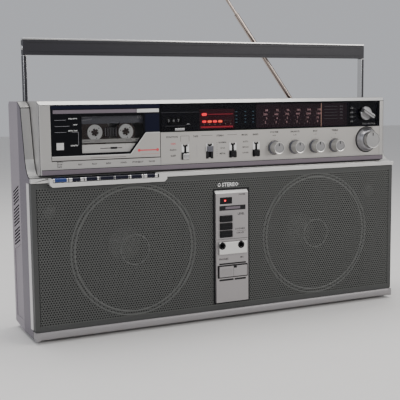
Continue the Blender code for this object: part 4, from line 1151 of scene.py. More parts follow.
# --- control unit
@dataclass
class ControlUnit:
    """Housing, control plate, printed legends, slide switches and knobs."""

    half: float = 265.0
    face: float = 7.0
    lip: float = 220.4
    slot: Span = (228.0, 246.0)
    sliders: tuple[tuple[str, str, float, float, bool], ...] = (
        ("function_switch", "function_lever", -65, 231, True),
        ("tape_switch", "tape_lever", -28.4, 240, False),
        ("stereo_switch", "stereo_lever", 7.3, 231.4, False),
        ("tuner_switch", "tuner_lever", 44, 231.4, False),
    )
    knobs: tuple[tuple[str, str, float, str], ...] = (
        ("volume_knob", "volume", 73.5, "VOLUME"),
        ("balance_knob", "balance", 107.7, "BALANCE"),
        ("bass_knob", "bass", 141.9, "BASS"),
        ("treble_knob", "treble", 176, "TREBLE"),
    )
    knob_z: float = 238.0
    tuning: Span = (231.7, 244.8)

    def housing_face(self, middle: Vector, normal: Vector) -> Finish:
        """Picks the finish of a face of the housing."""
        # The lip under the panel takes grey darkened by painted shade.
        if normal.y < -0.4 and middle.y < self.face + 0.5 and middle.z < self.lip:
            return Paint.LIP
        chamfer = normal.z > 0.4 and middle.z > 301
        if chamfer:
            # The front part of the top chamfer takes pale silver as a painted highlight.
            return Paint.BRIGHT if middle.y < 13 else Paint.SILVER
        shell = abs(middle.x) > self.half - 4.2 or middle.y < self.face + 0.4
        return Paint.SILVER if shell and normal.y < 0.5 else Paint.BLACK

    def housing(self) -> None:
        """Makes the housing with its dark joint lines and key legends."""
        def edge(point: Vector) -> bool:
            """Accepts the front edges of the housing."""
            return point.y < 14 and (abs(point.x) > 260 or point.z > 299 or point.z < 215)

        form = Form("unit_housing").cad("control_housing", self.housing_face, 0.4, edge)
        # The lip strip carries painted shade under the overhanging panel.
        form.rounded((-262, 262.6), (self.face - 0.3, self.face + 0.2), (214.4, 220.4), 1.2, Paint.LIP, 0.2)
        form.level(-262, 262, 214.3, 0.5, self.face - 0.2, Paint.BLACK)
        form.level(-262, 262, 220.7, 0.8, self.face - 0.1, Paint.BLACK)
        form.level(-249.5, -101, 222.2, 0.25, self.face - 0.02, Paint.GREY)
        legends = (
            (-212, "REC"), (-193, "PLAY"), (-174, "REW"), (-153, "F.FWD"), (-133.5, "STOP/EJECT"), (-113.5, "PAUSE")
        )
        for x, text in legends:
            form.words(text, x, 225.4, self.face, 2.1, Paint.PRINT)
        for row, text in enumerate(("AUTO", "STOP", "TAPE")):
            form.words(text, -242.5, 229 - row * 2.9, self.face, 2, Paint.PRINT, "LEFT")
        form.make("cabinet", "silver_plastic", "control_housing")

    def plate(self) -> None:
        """Makes the control plate with its legends and switch bezels."""
        form = Form("control_plate").cad(
            "control_panel", lambda middle, normal: Paint.PANEL if normal.y < -0.5 else Paint.BLACK
        )
        d = self.face + 0.08
        form.level(-99.4, 254.6, 222.4, 0.3, d, Paint.GREY)
        for _, _, x, _, _ in self.sliders:
            self.bezel(form, x, d)
        heads = ((-84, "FUNCTION"), (-49.25, "TAPE"), (-12, "STEREO"), (25.85, "MODE"), (43.4, "BAND"))
        for x, text in heads:
            form.words(text, x, 256.4, d, 2.3, Paint.PRINT)
        form.stroke([(-71.5, 251), (-71.5, 258.4), (-59, 258.4), (-59, 251)], 0.35, d, Paint.PRINT)
        form.level(-40.5, -24, 258.2, 0.4, d, Paint.PRINT)
        form.level(-1, 13.8, 258.2, 0.4, d, Paint.PRINT)
        for z, text, ink in ((247.2, "TAPE", Paint.RED), (239.2, "RADIO", Paint.PRINT), (231.4, "SLEEP", Paint.PRINT)):
            form.words(text, -82.5, z, d, 2.2, ink)
        for x, words in ((-8.5, ("NORMAL", "CrO2", "METAL")), (27.5, ("AUTO", "MONO", "LOCAL"))):
            for row, text in enumerate(words):
                form.words(text, x, 247 - row * 7.6, d, 2.1, Paint.PRINT)
        for step in range(7):
            form.block((-17.4, -16.8), (d - 0.05, d + 0.1), (229.4 + step * 3, 230.4 + step * 3), Paint.PRINT)
        form.stroke([(-47.5, 229), (-47.5, 246)], 0.3, d, Paint.GREY)
        for _, _, x, text in self.knobs:
            form.words(text, x, 258.8, d, 2.4, Paint.PRINT)
            form.words({"VOLUME": "0-10", "BALANCE": "L  R"}.get(text, "-  +"), x, 254.2, d, 2, Paint.PRINT)
            for step in range(11):
                turn = math.radians(-135 + 27 * step)
                form.rod(
                    0.32, (d - 0.05, d + 0.1), (x + 12.6 * math.sin(turn), self.knob_z + 12.6 * math.cos(turn)),
                    Paint.PRINT, segs=8,
                )
            # A black ring round each knob's foot, painted as the shadow that the knob casts.
            form.washer((9.8, 10.3), (d - 0.2, d + 0.3), (x, self.knob_z), Paint.BLACK, segs=40)
        form.words("TUNING", 238, 261.6, d - 0.02, 1.9, Paint.PRINT)
        # A black ring round the tuning knob's foot, painted as its shadow.
        form.washer((17.7, 19.2), (d - 0.2, d + 0.3), self.tuning, Paint.BLACK, segs=56)
        form.make("cabinet", "silver_plastic", "control_panel")

    def bezel(self, form: Form, x: float, d: float) -> None:
        """Adds the pale frame, the dark slot with its lower cheeks painted black as the slot's shadow, and the cross
        line round one slide switch.
        """
        low, high = self.slot
        # The black lower cheeks are painted shade: the shadow in the slot below the lever.
        cheeks = ((1.7, low + 8.6, high - 1.8, Paint.WHITE), (1.7, low - 1.4, low + 8.6, Paint.BLACK))
        for near, foot, top, finish in (*cheeks, (3.4, high - 1.8, high + 1.2, Paint.WHITE)):
            for xs in ((x - 5.4, x - near), (x + near, x + 5.4)):
                form.block(xs, (d - 0.7, d + 0.4), (foot, top), finish, 0.25)
        for xs in ((x - 3.5, x - 1.7), (x + 1.7, x + 3.5)):
            form.block(xs, (d - 0.55, d + 0.4), (high - 1.8, high + 0.8), Paint.BLACK)
        form.block((x - 6, x + 6), (9, 9.8), (low - 2, high + 2), Paint.BLACK)

    def switch(self, node: str, body: str, x: float, z: float, bright: bool) -> None:
        """Makes one slide switch lever with its gripping ridges."""
        form = Form(node + "_lever")
        skin = Paint.CHROME if bright else (Paint.SHELL if x < 0 else Paint.BLACK)
        form.block((x - 4.4, x + 4.4), (3.2, 6.2), (z - 3.8, z + 3.8), skin, 0.5)
        form.block((x - 1.3, x + 1.3), (6, 10.6), (z - 2.4, z + 2.4), Paint.BLACK)
        form.block((x - 3.4, x + 3.4), (9.9, 11.3), (z - 2.8, z + 2.8), Paint.BLACK)
        values = {
            "Count": 5, "Start": (x, 3.0, z - 2.6), "Step": (0.0, 0.0, 1.3), "Size": (7.4, 0.8, 0.5),
            "Finish": skin.material(),
        }
        form.mesh(Repeats.run("bar_row", values)).make(body, "silver_plastic" if bright else "black_plastic", node)

    def knob(self, node: str, body: str, x: float) -> None:
        """Makes one small knob with a ribbed side, a dished face and a mark."""
        z, tip = self.knob_z, -7.6
        face = replace(Paint.ALUMINIUM, name=node + "_face", centre=(x, z), colour=(150, 149, 149))
        side = replace(Paint.ALUMINIUM, name="knob_side", grain=Grain.BRUSHED_ACROSS, colour=(202, 201, 199))
        form = Form(node + "_cap")
        form.lathe([(0, tip + 1), (6.9, tip + 1), (7.2, tip + 0.3), (7.2, tip + 6)], (x, z), face, segs=48)
        form.lathe(
            [(7.2, tip + 4), (7.2, tip + 0.2), (8, tip), (8.3, tip + 0.9), (8.3, 4.6), (7.2, 4.6)], (x, z), side,
            ring=True, segs=48,
        )
        form.lathe(
            [(0, 4.4), (9.1, 4.4), (9.3, 5), (9.3, 6.8), (2.6, 6.8), (2.6, 15), (0, 15)], (x, z), Paint.SHELL, segs=40
        )
        form.block((x - 0.45, x + 0.45), (tip + 0.5, tip + 1.3), (z + 2.6, z + 6.6), Paint.BLACK)
        values = {"Count": 44, "Radius": 8.3, "Rib": (0.5, 0.42, 8.6), "Finish": side.material()}
        turn = Matrix(((1, 0, 0, x), (0, 0, 1, 0.0), (0, -1, 0, z), (0, 0, 0, 1)))
        form.mesh(Repeats.run("knurl", values), turn).make(body, "knob_aluminium", node)

    def tuning_knob(self) -> None:
        """Makes the two-step tuning knob."""
        x, z = self.tuning
        face = replace(Paint.ALUMINIUM, name="tuning_knob_face", centre=(x, z), colour=(170, 169, 168))
        skirt = replace(Paint.ALUMINIUM, name="tuning_knob_skirt", centre=(x, z), colour=(186, 185, 188))
        form = Form("tuning_knob_cap")
        form.lathe(
            [(0, -9.9), (10.9, -9.9), (11.2, -10.5), (12.1, -10.6), (12.5, -9.8), (12.5, -4.4), (0, -4.4)], (x, z),
            face, segs=64,
        )
        form.lathe([(0, -4.4), (11.4, -4.4), (11.4, -3.3), (0, -3.3)], (x, z), Paint.BLACK, segs=48)
        form.lathe(
            [(0, -3.4), (13.4, -3.4), (14, -2.8), (17.1, 4.2), (17.5, 5.6), (17.5, 6.8), (0, 6.8)], (x, z), skirt,
            segs=64,
        )
        form.lathe(
            [(0, 6.7), (3.2, 6.7), (3.2, 14.6), (10.2, 14.6), (10.2, 17.2), (3.2, 17.2), (3.2, 20), (0, 20)], (x, z),
            Paint.BLACK, segs=32,
        )
        form.block((x - 0.5, x + 0.5), (-10.45, -9.7), (z + 6, z + 10.4), Paint.BLACK)
        values = {"Count": 64, "Radius": 12.45, "Rib": (0.4, 0.5, 4.6), "Finish": face.material()}
        turn = Matrix(((1, 0, 0, x), (0, 0, 1, -7.0), (0, -1, 0, z), (0, 0, 0, 1)))
        form.mesh(Repeats.run("knurl", values), turn).make("tuning", "knob_aluminium", "tuning_knob")

    def build(self) -> None:
        """Makes the whole control unit except the dial and the deck."""
        self.housing()
        self.plate()
        for node, body, x, z, bright in self.sliders:
            self.switch(node, body, x, z, bright)
        for node, body, x, _ in self.knobs:
            self.knob(node, body, x)
        self.tuning_knob()


@dataclass
class Dial:
    """Smoked strip, printed scale, lamps, needle, band selector and tape counter."""

    ink: float = 11.86
    band: Span = (230.0, 283.5)
    band_angle: float = math.radians(150.0)
    counter_z: float = 279.0

    def scale(self) -> None:
        """Makes the printed scale plate with its lamps."""
        form = Form("dial_print").cad("dial_scale", Paint.DIAL)
        d = self.ink
        form.block((47, 200), (11.92, 12.1), (266.5, 299.5), Paint.DIAL_WARM)
        rows = (
            (289, (88, 92, 96, 100, 104, 108), 64, 17.5),
            (283.4, (530, 600, 700, 900, 1200, 1600), 62, 17.8),
            (277.8, (3, 4, 5, 7, 10, 12), 64, 17),
            (272.2, (2, 3, 4, 5, 6, 8), 62, 17.4),
        )
        for z, numbers, start, step in rows:
            for place, number in enumerate(numbers):
                form.words(str(number), start + place * step, z, d, 3, Paint.PINK)
            for tick in range(11):
                x = start - 5 + tick * 8.7
                form.block((x, x + 0.4), (d - 0.05, d + 0.05), (z - 1.4, z - 0.6), Paint.PINK)
        for z in (294.6, 290.2, 286, 281.6, 276.8):
            form.level(160.5, 183.5, z, 0.45, d, Paint.GREY)
            form.words("MHz" if z > 288 else "kHz", 190.2, z - 0.9, d, 2, Paint.GREY)
        form.stroke([(196, 266.5), (196, 299.5)], 0.6, d, Paint.BLACK)
        form.block((204.4, 253), (11.7, 12.1), (266, 300.2), Paint.GLOSS)
        for place, z in enumerate((291.4, 285, 278.5, 271.8)):
            form.block((206, 211), (11.5, 11.8), (z - 0.9, z + 0.9), Paint.WHITE)
            form.stroke([(211.8, z), (216.4, z + (283.5 - z) * 0.2)], 0.35, 11.62, Paint.GREY)
            form.words(("FM", "MW", "SW1", "SW2")[place], 208.5, z + 1.3, 11.7, 1.3, Paint.GREY)
        form.words("BAND SELECTOR", 239.5, 266.9, 11.66, 2.1, Paint.WHITE)
        self.lamps(form)
        for x0 in (14.5, 28.5, 41):
            for z in (289, 283.6, 278.8, 274.4):
                form.block((x0, x0 + 2.6), (d - 0.05, d + 0.05), (z, z + 0.9), Paint.CYAN)
        form.level(-98, -42, 290, 0.35, d, Paint.GREY)
        form.level(-91, -62, 272, 0.4, d, Paint.GREY)
        form.prism([(-60.8, 273.4), (-54.8, 273.4), (-57.8, 275.6)], d - 0.1, d + 0.1, Axis.BACK, Paint.WHITE)
        form.make("cabinet", "dial_print", "dial_scale")

    def lamps(self, form: Form) -> None:
        """Adds the lamp field: a stereo lamp, a row of level lamps and a bar."""
        form.block((-40.6, 12.4), (11.7, 12.1), (266.4, 293.6), Paint.LED_FIELD)
        form.rounded((-37.6, -30), (10.9, 11.8), (284.6, 288.4), 1.5, Paint.LED_ON, 0.3)
        form.block((-27.6, 10), (11.5, 11.7), (286.1, 287), Paint.LED_BAR)
        lit, amber, out = Paint.LED_ON, Paint.LED_AMBER, Paint.LED_OFF
        for place, finish in enumerate((lit, amber, lit, amber, out, out)):
            x = -37 + place * 8.1
            form.rounded((x, x + 6.2), (10.9, 11.8), (275.2, 278.4), 1.2, finish, 0.3)
            form.words(str(place * 2 + 1), x + 3.1, 272.2, 11.6, 1.4, Paint.NEEDLE)
        form.block((-39, 10), (11.4, 11.8), (268.2, 270.4), Paint.LED_BAR, 0.2)

    def needle(self) -> None:
        """Makes the needle with its hook and carriage."""
        form = Form("tuning_needle")
        form.block((154.1, 154.9), (10.4, 11.3), (265.8, 302.4), Paint.NEEDLE, 0.15)
        form.block((154, 155), (10.6, 15), (301.5, 302.4), Paint.BLACK)
        form.block((149.6, 159.4), (14.3, 15.5), (296.2, 302.2), Paint.BLACK, 0.3)
        form.make("pointer", "needle_red", "dial_pointer")

    def selector(self) -> None:
        """Makes the band selector: a turned disc with a raised bar."""
        x, z = self.band
        along, over = math.cos(self.band_angle), math.sin(self.band_angle)
        face = replace(Paint.ALUMINIUM, name="band_selector_face", centre=(x, z), colour=(158, 157, 158))
        form = Form("band_selector_cap")
        form.lathe(
            [(0, 3.8), (8.9, 3.8), (9.8, 4.6), (9.8, 6.6), (2.6, 6.6), (2.6, 19), (0, 19)], (x, z), face, segs=48
        )

        def bar(half_l: float, half_w: float, round_end: float) -> Outline:
            """Outlines a bar that lies along the selector's angle."""
            quarter = [(half_l, half_w - round_end), (half_l - round_end, half_w)]
            upper = quarter + [(-a, b) for a, b in reversed(quarter)]
            corners = upper + [(-a, -b) for a, b in upper]
            return [(x + a * along - b * over, z + a * over + b * along) for a, b in corners]

        form.prism(bar(11, 3, 1.5), -3.9, 5, Axis.BACK, face, 0.6)
        form.prism(bar(11.2, 0.4, 0.2), -4, -3, Axis.BACK, Paint.GLOSS)
        form.make("band", "knob_aluminium", "band_selector")

    def counter(self) -> None:
        """Makes the three-figure counter and its reset bar."""
        form = Form("counter_works").cad("tape_counter", Paint.BLACK)
        for place, x in enumerate((-84.9, -77.8, -70.7)):
            form.washer((1.2, 5.3), (x - 2.9, x + 2.9), (20.3, self.counter_z), Paint.BLACK, Axis.ACROSS, 28, 0.2)
            form.words(str((3, 4, 7)[place]), x, self.counter_z - 1.9, 14.98, 3.8, Paint.WHITE)
        form.make("cabinet", "black_plastic", "tape_counter")
        bar = Form("counter_reset_bar").block((-80.3, -66.2), (5.2, 20), (266.1, 269), Paint.CHROME, 0.3)
        bar.make("counter_reset", "silver_plastic", "counter_reset_button")

    def build(self) -> None:
        """Makes the dial."""
        self.scale()
        self.needle()
        self.selector()
        self.counter()
        strip = Form("smoked_strip").cad("dial_window", Paint.SMOKED, 0.25)
        strip.make("cabinet", "clear_plastic", "dial_window")
        frame_line = Form("strip_bezel")
        frame_line.block((-100.2, 255.6), (6.8, 7.3), (299.6, 301.9), Paint.GLOSS, 0.15)
        for xs in ((-100.3, -99.5), (203.6, 204.4), (253.4, 255.7)):
            frame_line.block(xs, (6.8, 7.2), (264.6, 301.6), Paint.GLOSS, 0.1)
        frame_line.make("cabinet", "black_plastic")


# --- cassette deck
@dataclass
class Deck:
    """Lid with its window, the cassette in it, the keys and the works behind."""

    lid: Span = (-248.8, -101.2)
    window: tuple[Span, ...] = ((-210.0, 239.3), (-144.0, 239.3), (-123.5, 264.8), (-123.5, 288.5), (-210.0, 288.5))
    hubs: tuple[tuple[str, float], ...] = (("left", -188.9), ("right", -146.4))
    hub_z: float = 266.2
    key_mid: float = -180.1
    key_pitch: float = 20.3
    key_width: float = 19.4
    key_insets: tuple[float, ...] = (7.8, 5.6, 7.4, 9.3, 9.1, 7.6, 5.8)
    key_names: tuple[str, ...] = ("record", "play", "rewind", "fast_forward", "stop", "eject", "pause")

    def lid_panel(self) -> None:
        """Makes the lid: gloss black above, silver below, with its legends."""
        form = Form("deck_lid").cad(
            "cassette_door", lambda middle, normal: Paint.GLOSS if middle.y < 9.9 else Paint.BLACK
        )
        x0, x1 = self.lid
        step = [(x0 + 0.2, 237), (-143, 237), (-121.3, 264.4), (x1 - 0.2, 264.4)]
        form.prism([(x0 + 0.2, 232.2), (x1 - 0.2, 232.2), *step[::-1]], 6.75, 7.2, Axis.BACK, Paint.PANEL, 0.12)
        # The pale line along the step is a painted highlight on its edge.
        form.stroke([(x, z + 0.1) for x, z in step], 0.9, 6.78, Paint.BRIGHT, 0.2)
        form.block((x1 - 20.8, x1 - 0.8), (6.85, 7.2), (265.6, 289.4), Paint.NAVY, 0.1)
        # The left bar takes grey with painted shade, the right bar pale silver with a painted highlight.
        for xs, bar in (((x0 + 2.8, -133.9), Paint.LIP), ((-133.5, x1 - 1.4), Paint.BRIGHT)):
            form.block(xs, (6.4, 7.2), (291, 295.6), bar, 0.25)
        form.block((x0 + 0.2, x1 - 0.2), (6.7, 7.2), (296.6, 301.3), Paint.NAVY, 0.15)
        d = 6.97
        for z, end, text in ((283, -229, "FULL AUTO"), (275.3, -225, "STOP"), (267.8, -229, "METAL TAPE")):
            form.level(-244, end, z, 0.35, d, Paint.GREY)
            form.words(text, -214.6, z + 0.9, d, 1.5, Paint.WHITE, "RIGHT")
        form.stroke([(-222, 267.6), (-213.4, 267.6), (-213.4, 251.2)], 0.35, d, Paint.GREY)
        form.words("CASSETTE", -214.6, 250, d, 1.5, Paint.WHITE, "RIGHT")
        form.block((-242.3, -232.8), (6.6, 7.2), (245.6, 254.6), Paint.BRIGHT, 0.3)
        form.level(-131, -103.8, 241.6, 1.6, 6.74, Paint.RED)
        for x in (-131.4, -105.2):
            form.rod(2, (6.66, 6.9), (x, 241.6), Paint.RED, segs=20)
        form.level(-198, -150, 234.2, 0.4, 6.74, Paint.PRINT)
        form.level(-128, -103, 236.4, 0.25, 6.74, Paint.RED)
        for xs in ((-246, -200), (-146, -104)):
            form.level(xs[0], xs[1], 233.3, 0.25, 6.74, Paint.GREY)
        form.make("deck_lid", "black_plastic", "cassette_door")
        pane = Form("deck_window").cad("cassette_window", Paint.CLEAR, 0.3)
        pane.stroke([self.inset(corner) for corner in (0, 1, 2, 3, 4, 0)], 1.3, 7.12, Paint.GLOSS, 0.1)
        pane.make("deck_lid", "clear_plastic", "cassette_window")

    def inset(self, corner: int) -> Span:
        """Returns a corner of the window, drawn in towards its middle."""
        x, z = self.window[corner]
        return x + (-168 - x) * 0.012, z + (264 - z) * 0.025

    def cassette(self) -> None:
        """Makes the cassette: shell, labels, little window, wound tape and screws."""
        form = Form("cassette_body")
        hole = Form("cassette_cut")
        for _, x in self.hubs:
            hole.rod(10.7, (10, 28), (x, self.hub_z), Paint.BLACK, segs=40)
        hole.block((-178.2, -157.4), (11, 15.2), (259.6, 273.4), Paint.BLACK)
        for x in (-199, -178, -157, -136):
            hole.rod(1.7, (10, 28), (x, 238), Paint.BLACK, segs=16)
        shell = Form("cassette_shell_solid")
        shell.block((-217.8, -117.4), (13.3, 24.7), (234, 297.8), Paint.SHELL, 0.8)
        shell.prism(
            [(-200.6, 234.3), (-134.6, 234.3), (-137, 244.6), (-198.2, 244.6)], 12.4, 25.6, Axis.BACK, Paint.SHELL, 0.4
        )
        form.join(shell.carve(hole))
        # The label and strip glow as painted light.
        labels = ((13.05, 252.9, 257.6, 0.6, Paint.PAPER_STRIP), (12.15, 239.9, 250.9, 0.8, Paint.LABEL))
        for front, foot, top, radius, finish in (*labels, (13.05, 277.4, 296.2, 1.5, Paint.SHELL)):
            form.rounded((-213.5, -121.7), (front, 13.4), (foot, top), radius, finish)
        form.level(-183, -153, 245.6, 0.9, 12.12, Paint.PRINT)
        form.block((-169, -160), (12.05, 12.2), (244.4, 246.9), Paint.PRINT)
        for z, width in ((291.5, 30), (287.5, 24), (283.5, 18)):
            form.stroke([(-211, z - 2.2), (-211 + width, z)], 0.9, 13.02, Paint.GREY)
        form.words("60", -128, 283, 13, 5, Paint.GREY)
        for x in (-205, -190, -147, -134):
            form.level(x, x + 8, 255.2, 0.7, 13.02, Paint.GREY)
        for (side, x), radius, segs in zip(self.hubs, (20.5, 13.5), (56, 48)):
            wound = replace(Paint.TAPE, name="tape_pack_" + side, centre=(x, self.hub_z))
            form.rod(radius, (15.6, 18.6), (x, self.hub_z), wound, segs=segs)
        form.block((-177.8, -157.8), (14.6, 15.2), (260, 273), Paint.CLEAR)
        for step in range(5):
            x = -175 + step * 3.6
            form.block((x, x + 0.7), (14.4, 14.7), (261.2, 271.8), Paint.GREY)
        corners = [(x, 13.3, z) for z in (293.8, 236.6) for x in (-213.6, -121.6)]
        form.screws([*corners, (-167.6, 13.3, 275.2)], 1.5, Paint.STEEL)
        form.make("deck_lid", "cassette_plastic", "cassette_shell")

    def reels(self) -> None:
        """Makes the toothed hubs of the two reels."""
        for side, x in self.hubs:
            form = Form("reel_" + side + "_hub")
            form.lathe(
                [(5.4, 14.2), (9.9, 14.2), (10.2, 14.6), (10.2, 23.8), (5, 23.8), (5, 14.7)], (x, self.hub_z),
                Paint.REEL, ring=True, segs=48,
            )
            for step in range(6):
                turn = math.radians(60 * step + 15)
                along, over = math.cos(turn), math.sin(turn)
                corners = [(3.7, -0.6), (3.7, 0.6), (6, 0.9), (6, -0.9)]
                outline = [(x + a * along - b * over, self.hub_z + a * over + b * along) for a, b in corners]
                form.prism(outline, 14.4, 23.4, Axis.BACK, Paint.REEL, 0.15)
            for step in range(3):
                turn = math.radians(120 * step + 45)
                form.rod(
                    0.7, (14, 14.6), (x + 7.6 * math.cos(turn), self.hub_z + 7.6 * math.sin(turn)), Paint.SHELL,
                    segs=12,
                )
            form.make("reel_hub_" + side, "reel_plastic", "reel_" + side)

    def spindles(self) -> None:
        """Makes the drive spindles with their splines."""
        for side, x in self.hubs:
            form = Form("drive_spindle_" + side)
            profile = [(0, 20), (1.5, 20), (2.6, 24.6), (2.6, 29.5), (8.6, 29.5), (9, 30), (9, 32.6)]
            profile += [(2.2, 33.4), (2.2, 36.4), (11, 36.4), (11, 39.4), (0, 39.4)]
            form.lathe(profile, (x, self.hub_z), Paint.BLACK, segs=36)
            for step in range(6):
                turn = math.radians(60 * step)
                cx, cz = x + 2.5 * math.cos(turn), self.hub_z + 2.5 * math.sin(turn)
                form.rod(0.5, (23.6, 29.6), (cx, cz), Paint.REEL, segs=8)
            form.make("spindle_drive_" + side, "black_plastic", "spindle_" + side)

    def works(self) -> None:
        """Makes the chassis face, heads and capstan that show when the lid is open."""
        plate = Form("deck_chassis").cad("deck_plate", Paint.STEEL, 0.2)
        plate.screws([(-255, 34, 297), (-108, 34, 297), (-255, 34, 226), (-108, 34, 226)], 2.6, Paint.STEEL)
        for x in (-214.5, -120.5):
            plate.rod(2.2, (27, 34.5), (x, 292), Paint.STEEL, segs=20, bevel=0.4)
        for z in (286, 279):
            plate.block((-201, -134), (33.3, 34.2), (z, z + 3), Paint.STEEL, 0.3)
        plate.make("cabinet", "steel", "deck_plate")
        head = Form("head_carriage").cad("head_block", Paint.STEEL, 0.25)
        head.rounded((-173, -162), (27.1, 27.8), (240, 247.4), 1.2, Paint.CHROME, 0.2)
        head.rounded((-191, -184), (27.5, 28.2), (240.6, 246.8), 1, Paint.BLACK, 0.2)
        head.screws([(-179, 31.4, 243.5), (-154, 31.4, 243.5)], 1.6, Paint.STEEL)
        head.make("head_carriage", "steel", "head_block")
        wheel = replace(Paint.STEEL, name="flywheel_steel", grain=Grain.SPUN, centre=(-204, 246))
        Form("flywheel_rotor").cad("capstan_flywheel", wheel, 0.4).make("flywheel", "steel", "capstan_flywheel")
        motor = replace(Paint.STEEL, name="motor_can", grain=Grain.SPUN, centre=(-122, 238))
        Form("motor_body").cad("deck_motor", motor, 0.4).make("cabinet", "steel", "deck_motor")

    def keys(self) -> None:
        """Makes the seven piano keys: bright bodies with gloss insets and symbols."""
        for place, name in enumerate(self.key_names):
            x = self.key_mid + (place - 3) * self.key_pitch
            half = self.key_width / 2
            inset = self.key_insets[place]
            skin = Paint.BLUE if name == "record" else Paint.NAVY
            form = Form("key_" + name + "_cap")
            cap = [(-3.4, 206), (-3.4, 209.8), (-2.2, 210.8), (7, 210.8), (9.5, 209.4), (9.5, 206)]
            form.prism(cap, x - half, x + half, Axis.ACROSS, Paint.CHROME, 0.45)
            top = [(-3.5, 206.2), (-3.5, 209.85), (-2.25, 211), (6.4, 211), (6.4, 209.5), (-2, 206.2)]
            form.prism(top, x - inset, x + inset, Axis.ACROSS, skin, 0.35)
            form.block((x - 2.2, x + 2.2), (8.5, 48), (206.4, 209.2), Paint.BLACK, 0.3)
            form.washer((1.95, 3.9), (x - 3, x + 3), (50, 206.8), Paint.BLACK, Axis.ACROSS, 24)
            form.make("key_" + name + "_lever", "key_plastic", "key_" + name)

    def build(self) -> None:
        """Makes the deck."""
        self.lid_panel()
        self.cassette()
        self.reels()
        self.spindles()
        self.works()
        self.keys()


# --- centre column
@dataclass
class CentreColumn:
    """Raised column with a lamp, push buttons, sockets and a wide button."""

    face: float = -1.0
    button_x: Span = (-17.4, 1.1)
    buttons: tuple[tuple[str, float, float], ...] = (
        ("top", 138.9, 147.5), ("mid", 127.9, 137.2), ("low", 117.3, 126.5)
    )
    wide_x: Span = (-19.8, 23.2)
    wide_z: Span = (62.0, 76.6)
    sockets: Span = (-15.6, 13.5)
    socket_z: float = 106.0

    def panel_face(self, middle: Vector, normal: Vector) -> Finish:
        """Picks the finish of a face of the column."""
        # The column's top face takes pale silver as a painted highlight.
        if normal.z > 0.5 and middle.z > 178:
            return Paint.BRIGHT
        outer = normal.y < -0.5 or abs(middle.x - 1.5) > 24.8 or middle.z < 26.2
        return Paint.COLUMN if outer else Paint.BLACK

    def panel(self) -> None:
        """Makes the column with its lamp window, slits and legends."""
        form = Form("column_panel").cad("centre_panel", self.panel_face)
        d = self.face
        form.rounded((-17.4, 1.4), (d - 0.25, d + 0.5), (163.6, 172.9), 0.6, Paint.GLOSS, 0.15)
        form.rounded((-10.9, -8.1), (d - 0.6, d), (167, 169.6), 1.1, Paint.LED_ON, 0.2)
        form.rounded((-18.2, 22.4), (d - 0.2, d + 0.5), (154.6, 161.2), 0.5, Paint.BLACK, 0.15)
        form.block((-9, 14), (d - 0.35, d), (156.2, 159.6), Paint.LIP, 0.15)
        for low, high in ((79, 81), (56.2, 58.6)):
            form.block((-19, 22.6), (d - 0.12, d + 0.4), (low, high), Paint.BLACK)
        form.block((3, 4.6), (d - 0.3, d + 0.4), (56, 58.8), Paint.COLUMN)
        form.block((-21.8, 25.4), (d - 0.14, d + 0.4), (60.2, 78.2), Paint.GLOSS)
        form.level(-22.6, 25.6, 114.6, 0.5, d - 0.03, Paint.BLACK)
        form.level(-22.6, 25.6, 91.6, 0.4, d - 0.03, Paint.GREY)
        form.stroke(
            [(-19.5, 115.8), (3.2, 115.8), (3.2, 149.6), (-19.5, 149.6), (-19.5, 115.8)], 0.35, d - 0.02, Paint.GREY
        )
        legends = (
            (17, 174.8, "POWER", 2.1),
            (15.4, 147.4, "LEVEL", 2.9),
            (13.8, 127, "LOUDNESS", 2.2),
            (13.8, 121.2, "ON-OFF", 2.2),
            (-11.8, 85.6, "PHONES", 2.6),
            (16.6, 86.6, "MIC", 2.2),
        )
        for x, z, text, cap in legends:
            form.words(text, x, z, d, cap, Paint.PRINT)
        form.level(8.6, 23.4, 125, 0.3, d - 0.02, Paint.PRINT)
        form.make("cabinet", "silver_plastic", "centre_panel")

    def push_button(self, name: str, xs: Span, zs: Span, front: float, finish: Finish) -> Form:
        """Starts a push button with its flange.

        Args:
            name: the piece's name.
            xs: its two sides.
            zs: its foot and its top.
            front: depth of its face.
            finish: finish of its cap.

        Returns:
            The piece, not yet handed over.
        """
        form = Form(name)
        form.block(xs, (front, 9), zs, finish, 0.5)
        form.block((xs[0] - 0.6, xs[1] + 0.6), (1.8, 3), (zs[0] - 0.6, zs[1] + 0.6), Paint.BLACK)
        return form

    def jacks(self) -> None:
        """Makes the socket block with its two lined sockets."""
        block = Form("socket_solid").block((-20, 23), (-4.6, 13.6), (94, 111), Paint.BRIGHT, 0.7)
        bores = Form("socket_bores")
        for x in self.sockets:
            bores.rod(3.2, (-6, 11), (x, self.socket_z), Paint.BLACK, segs=32)
        form = block.carve(bores)
        for x in self.sockets:
            form.lathe(
                [(3.25, -4.9), (5, -4.9), (5.2, -4.4), (3.25, -4.4)], (x, self.socket_z), Paint.GLOSS, ring=True,
                segs=32,
            )
            form.washer((2.2, 3.15), (-2, 9), (x, self.socket_z), Paint.BLACK, segs=24)
        form.make("cabinet", "black_plastic", "jack_block")

    def build(self) -> None:
        """Makes the column."""
        self.panel()
        for name, low, high in self.buttons:
            node = "mode_button_" + name
            form = self.push_button(node + "_cap", self.button_x, (low, high), -3.4, Paint.GLOSS)
            form.block((-15.4, -0.9), (-3.6, -3.2), ((low + high) / 2 - 0.3, (low + high) / 2 + 0.3), Paint.BLACK)
            form.make("mode_" + name, "black_plastic", node)
        wide = self.push_button("wide_button_cap", self.wide_x, self.wide_z, -4, Paint.COLUMN)
        wide.block((2, 6.6), (-4.6, -3.8), (74, 77), Paint.GLOSS, 0.2)
        wide.stroke([(1.8, 62.8), (1.8, 73.8)], 0.35, -4.02, Paint.BLACK)
        values = {
            "Count": 12, "Start": (-17.4, -4.02, 69.0), "Step": (1.5, 0.0, 0.0), "Size": (0.5, 0.36, 9.0),
            "Finish": Paint.COLUMN.material(),
        }
        wide.mesh(Repeats.run("bar_row", values)).make("wide_button", "silver_plastic", "wide_push_button")
        self.jacks()


